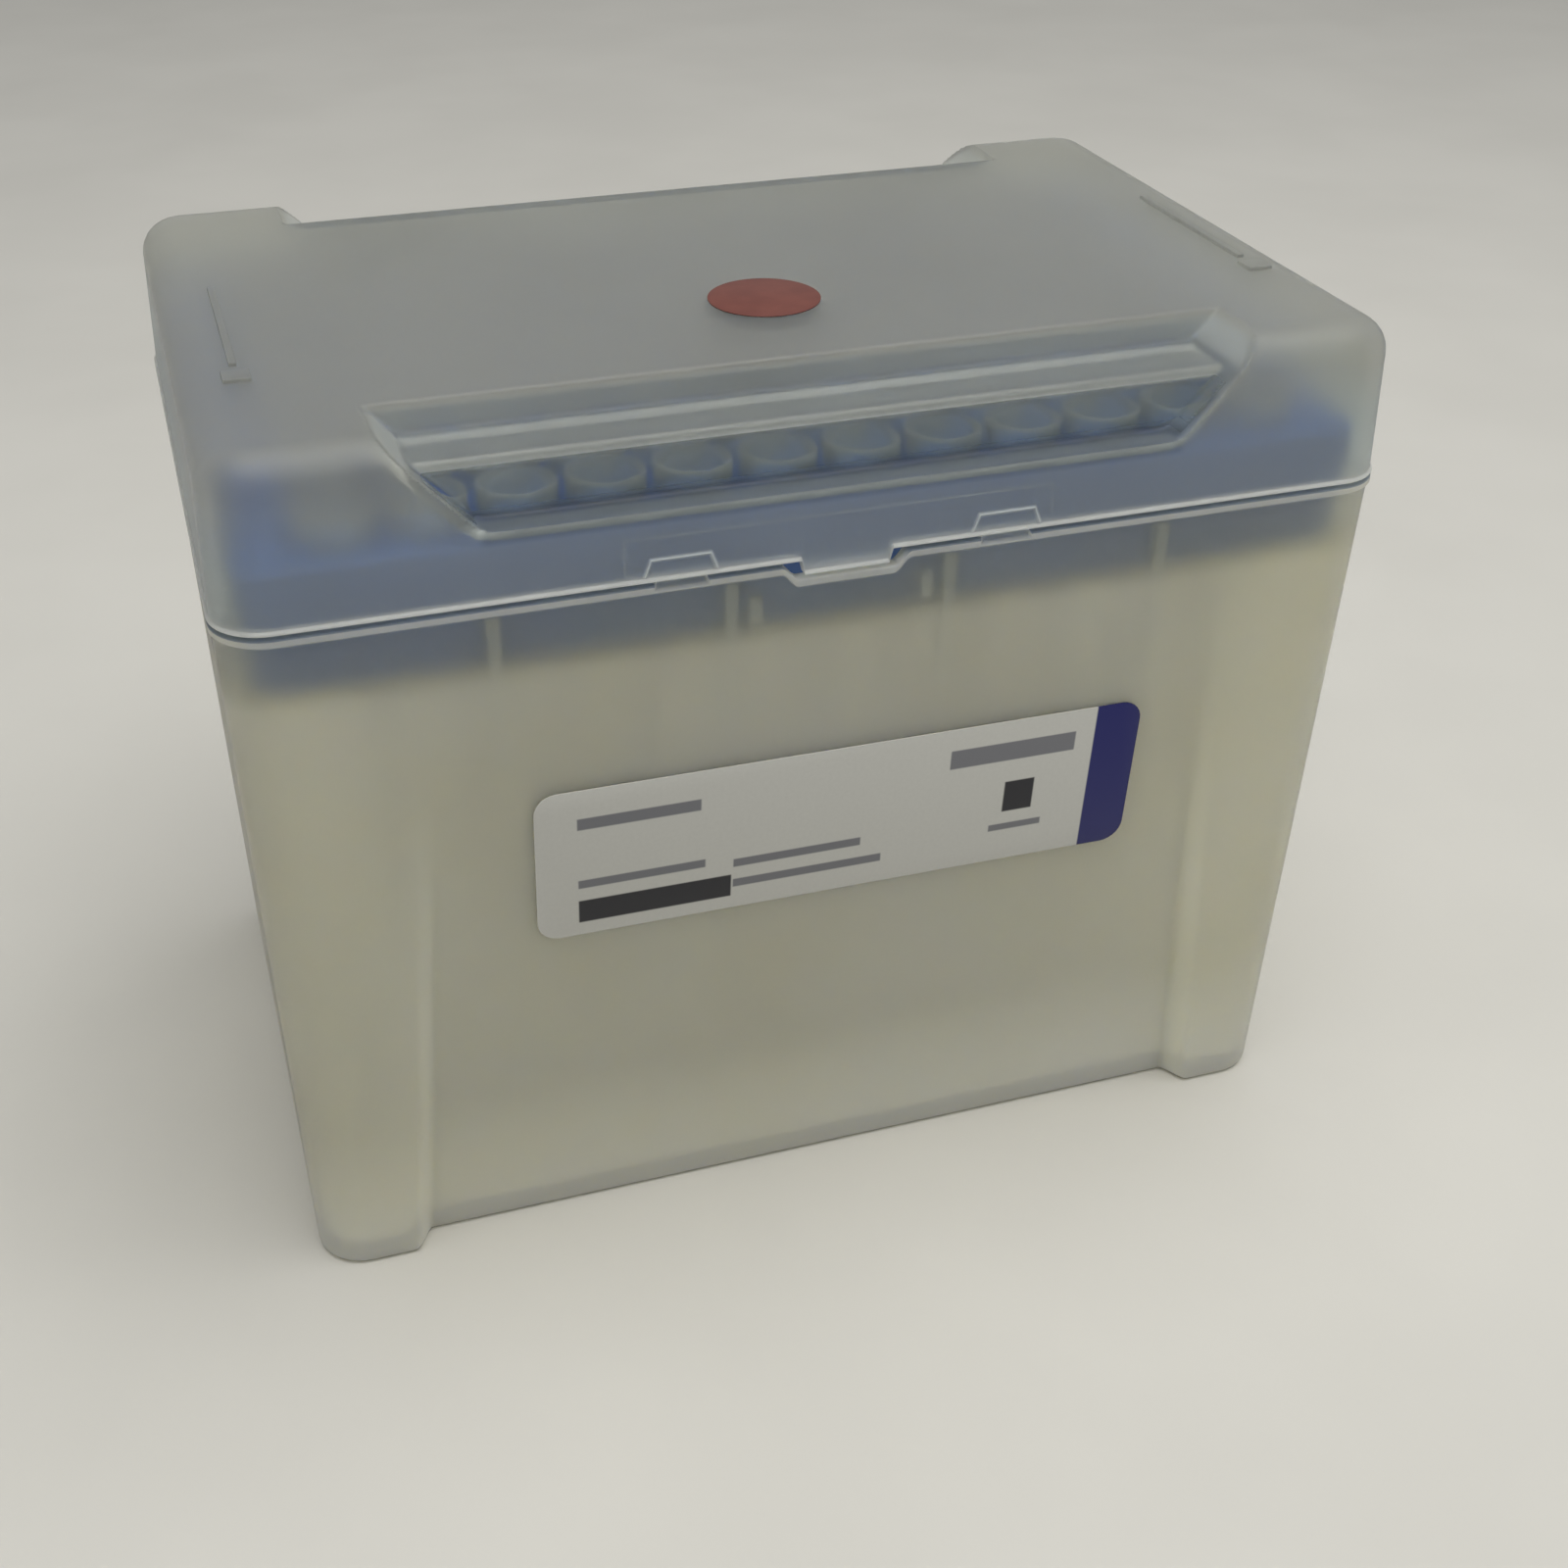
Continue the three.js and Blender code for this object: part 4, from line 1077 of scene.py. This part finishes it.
# %% [markdown]
# The shader draws the label's print in the sticker's own millimetres, so it stays sharp at any size and
# needs no image. Each bar is a product of four ramps, one for each side. The bars stand for lines of
# print and a code square, and the dark end is a plain stripe, so the label names nothing.

# %% Printed label
def box_mask(tree, along, upward, u0, u1, v0, v1, soft=0.08):
    """1 inside a rectangle of the sticker's own millimetres and 0 outside, as a product of four ramps."""
    total = None
    for source, low, high in ((along, u0, u1), (upward, v0, v1)):
        for start, end in ((low - soft, low + soft), (high + soft, high - soft)):
            sides = {"Value": source, "From Min": start, "From Max": end, "To Min": 0.0, "To Max": 1.0}
            ramp = node(tree, "ShaderNodeMapRange", sides).outputs["Result"]
            if total is None:
                total = ramp
            else:
                both = node(tree, "ShaderNodeMath", {0: total, 1: ramp}, operation="MULTIPLY")
                total = both.outputs["Value"]
    return total


GREY, DARK, NAVY = "#75767b", "#2b2b30", "#202363"
PRINTED = [  # left, right, foot and top of each bar from the label's middle, and its ink
    (-30.2, -16.6, 4.6, 6.1, GREY),
    (-30.2, -16.0, -3.3, -2.2, GREY),
    (-30.2, -13.0, -8.0, -5.0, DARK),
    (-12.8, 2.0, -4.0, -2.9, GREY),
    (-12.8, 4.6, -6.8, -5.7, GREY),
    (12.0, 27.0, 4.4, 6.9, GREY),
    (19.0, 22.6, -2.8, 1.4, DARK),
    (17.6, 24.0, -5.4, -4.5, GREY),
    (29.3, 40.0, -12.0, 12.0, NAVY),
]

# Coated paper. The eye gets a cool white sheet with a faint sheen and the slight mottle of its fibres.
label_paper, tree, shader = material("coated_label_paper_printed", Roughness=0.42, Specular_IOR_Level=0.3)
uv = node(tree, "ShaderNodeUVMap", uv_map="sticker").outputs["UV"]
split = node(tree, "ShaderNodeSeparateXYZ", {"Vector": uv})
fibre = node(tree, "ShaderNodeTexNoise", {"Vector": uv, "Scale": 2.2, "Detail": 3.0})
paper = node(tree, "ShaderNodeValToRGB", {"Fac": fibre.outputs["Fac"]})
paper.color_ramp.elements[0].color = linear("#bfbfba")
paper.color_ramp.elements[1].color = linear("#c7c7c2")
colour = paper.outputs["Color"]
for *sides, ink in PRINTED:
    mask = box_mask(tree, split.outputs["X"], split.outputs["Y"], *sides)
    mix = node(tree, "ShaderNodeMix", {"Factor": mask}, data_type="RGBA")
    tree.links.new(colour, mix.inputs["A"])
    mix.inputs["B"].default_value = linear(ink)
    colour = mix.outputs["Result"]
tree.links.new(colour, shader.inputs["Base Color"])
bump = node(tree, "ShaderNodeBump", {"Height": fibre.outputs["Fac"], "Distance": 0.02 * MM, "Strength": 0.2})
tree.links.new(bump.outputs["Normal"], shader.inputs["Normal"])
label.data.materials.append(label_paper)
print("label print:", len(PRINTED), "bars")

# %% [markdown]
# The dot on the lid is paper with an indicator ink, which changes colour when the box has been through
# steam. It is plain, so two near reds and a fine grain are all that it needs.

# %% Indicator dot
# Matt red paper. The eye gets a dull brick red that is never quite even.
dot_ink, tree, shader = material("red_indicator_paper", Roughness=0.5, Specular_IOR_Level=0.35)
place = moulded_texture(tree, shader, 0.4, 0.02, 0.25)
vary_colour(tree, shader, place, "#64362f", "#6c3c34", 2.5)
dot.data.materials.append(dot_ink)
print("materials:", len(bpy.data.materials))

# %% [markdown]
# The box stands on a plain pale table. One large soft light hangs above it and a little in front, and the
# even surroundings fill the rest, so that milky plastic shows its own shades. More lamps would add shine
# and wash out the blue behind the walls.

# %% Stage and light
TABLE = 3  # half the table's size in metres, so that its edge is never near the box
LAMP_PLACE, LAMP_AIM = Vector((70, -140, 800)), Vector((0, 0, 30))

# Pale laminate. The eye gets an even warm grey with a soft shadow and no mirror image of the box.
table_paint, tree, shader = material("pale_table_laminate", Roughness=0.6, Specular_IOR_Level=0.25)
place = node(tree, "ShaderNodeTexCoord").outputs["Object"]
vary_colour(tree, shader, place, "#cccbc6", "#d0cfca", 60)
mesh = bpy.data.meshes.new("table")
corners = [(-TABLE, -TABLE, 0), (TABLE, -TABLE, 0), (TABLE, TABLE, 0), (-TABLE, TABLE, 0)]
mesh.from_pydata(corners, [], [[0, 1, 2, 3]])
table = bpy.data.objects.new("table", mesh)
bpy.context.scene.collection.objects.link(table)
mesh.materials.append(table_paint)

lamp = bpy.data.lights.new("overhead", "AREA")
lamp.shape = "RECTANGLE"
lamp.size, lamp.size_y = 800 * MM, 700 * MM
lamp.energy = 6.0
lamp.color = linear("#fffdf9")[:3]
overhead = bpy.data.objects.new("overhead", lamp)
spin = (LAMP_AIM - LAMP_PLACE).to_track_quat("-Z", "Y").to_matrix().to_4x4()
overhead.matrix_world = Matrix.Translation(LAMP_PLACE * MM) @ spin
bpy.context.scene.collection.objects.link(overhead)
world = bpy.data.worlds.new("studio")
bpy.context.scene.world = world
world.use_nodes = True
background = world.node_tree.nodes["Background"]
background.inputs["Color"].default_value = linear("#e6e6e4")
background.inputs["Strength"].default_value = 0.45
bpy.context.scene.view_settings.view_transform = "Standard"
print("stage and light: one lamp, a table and even surroundings")
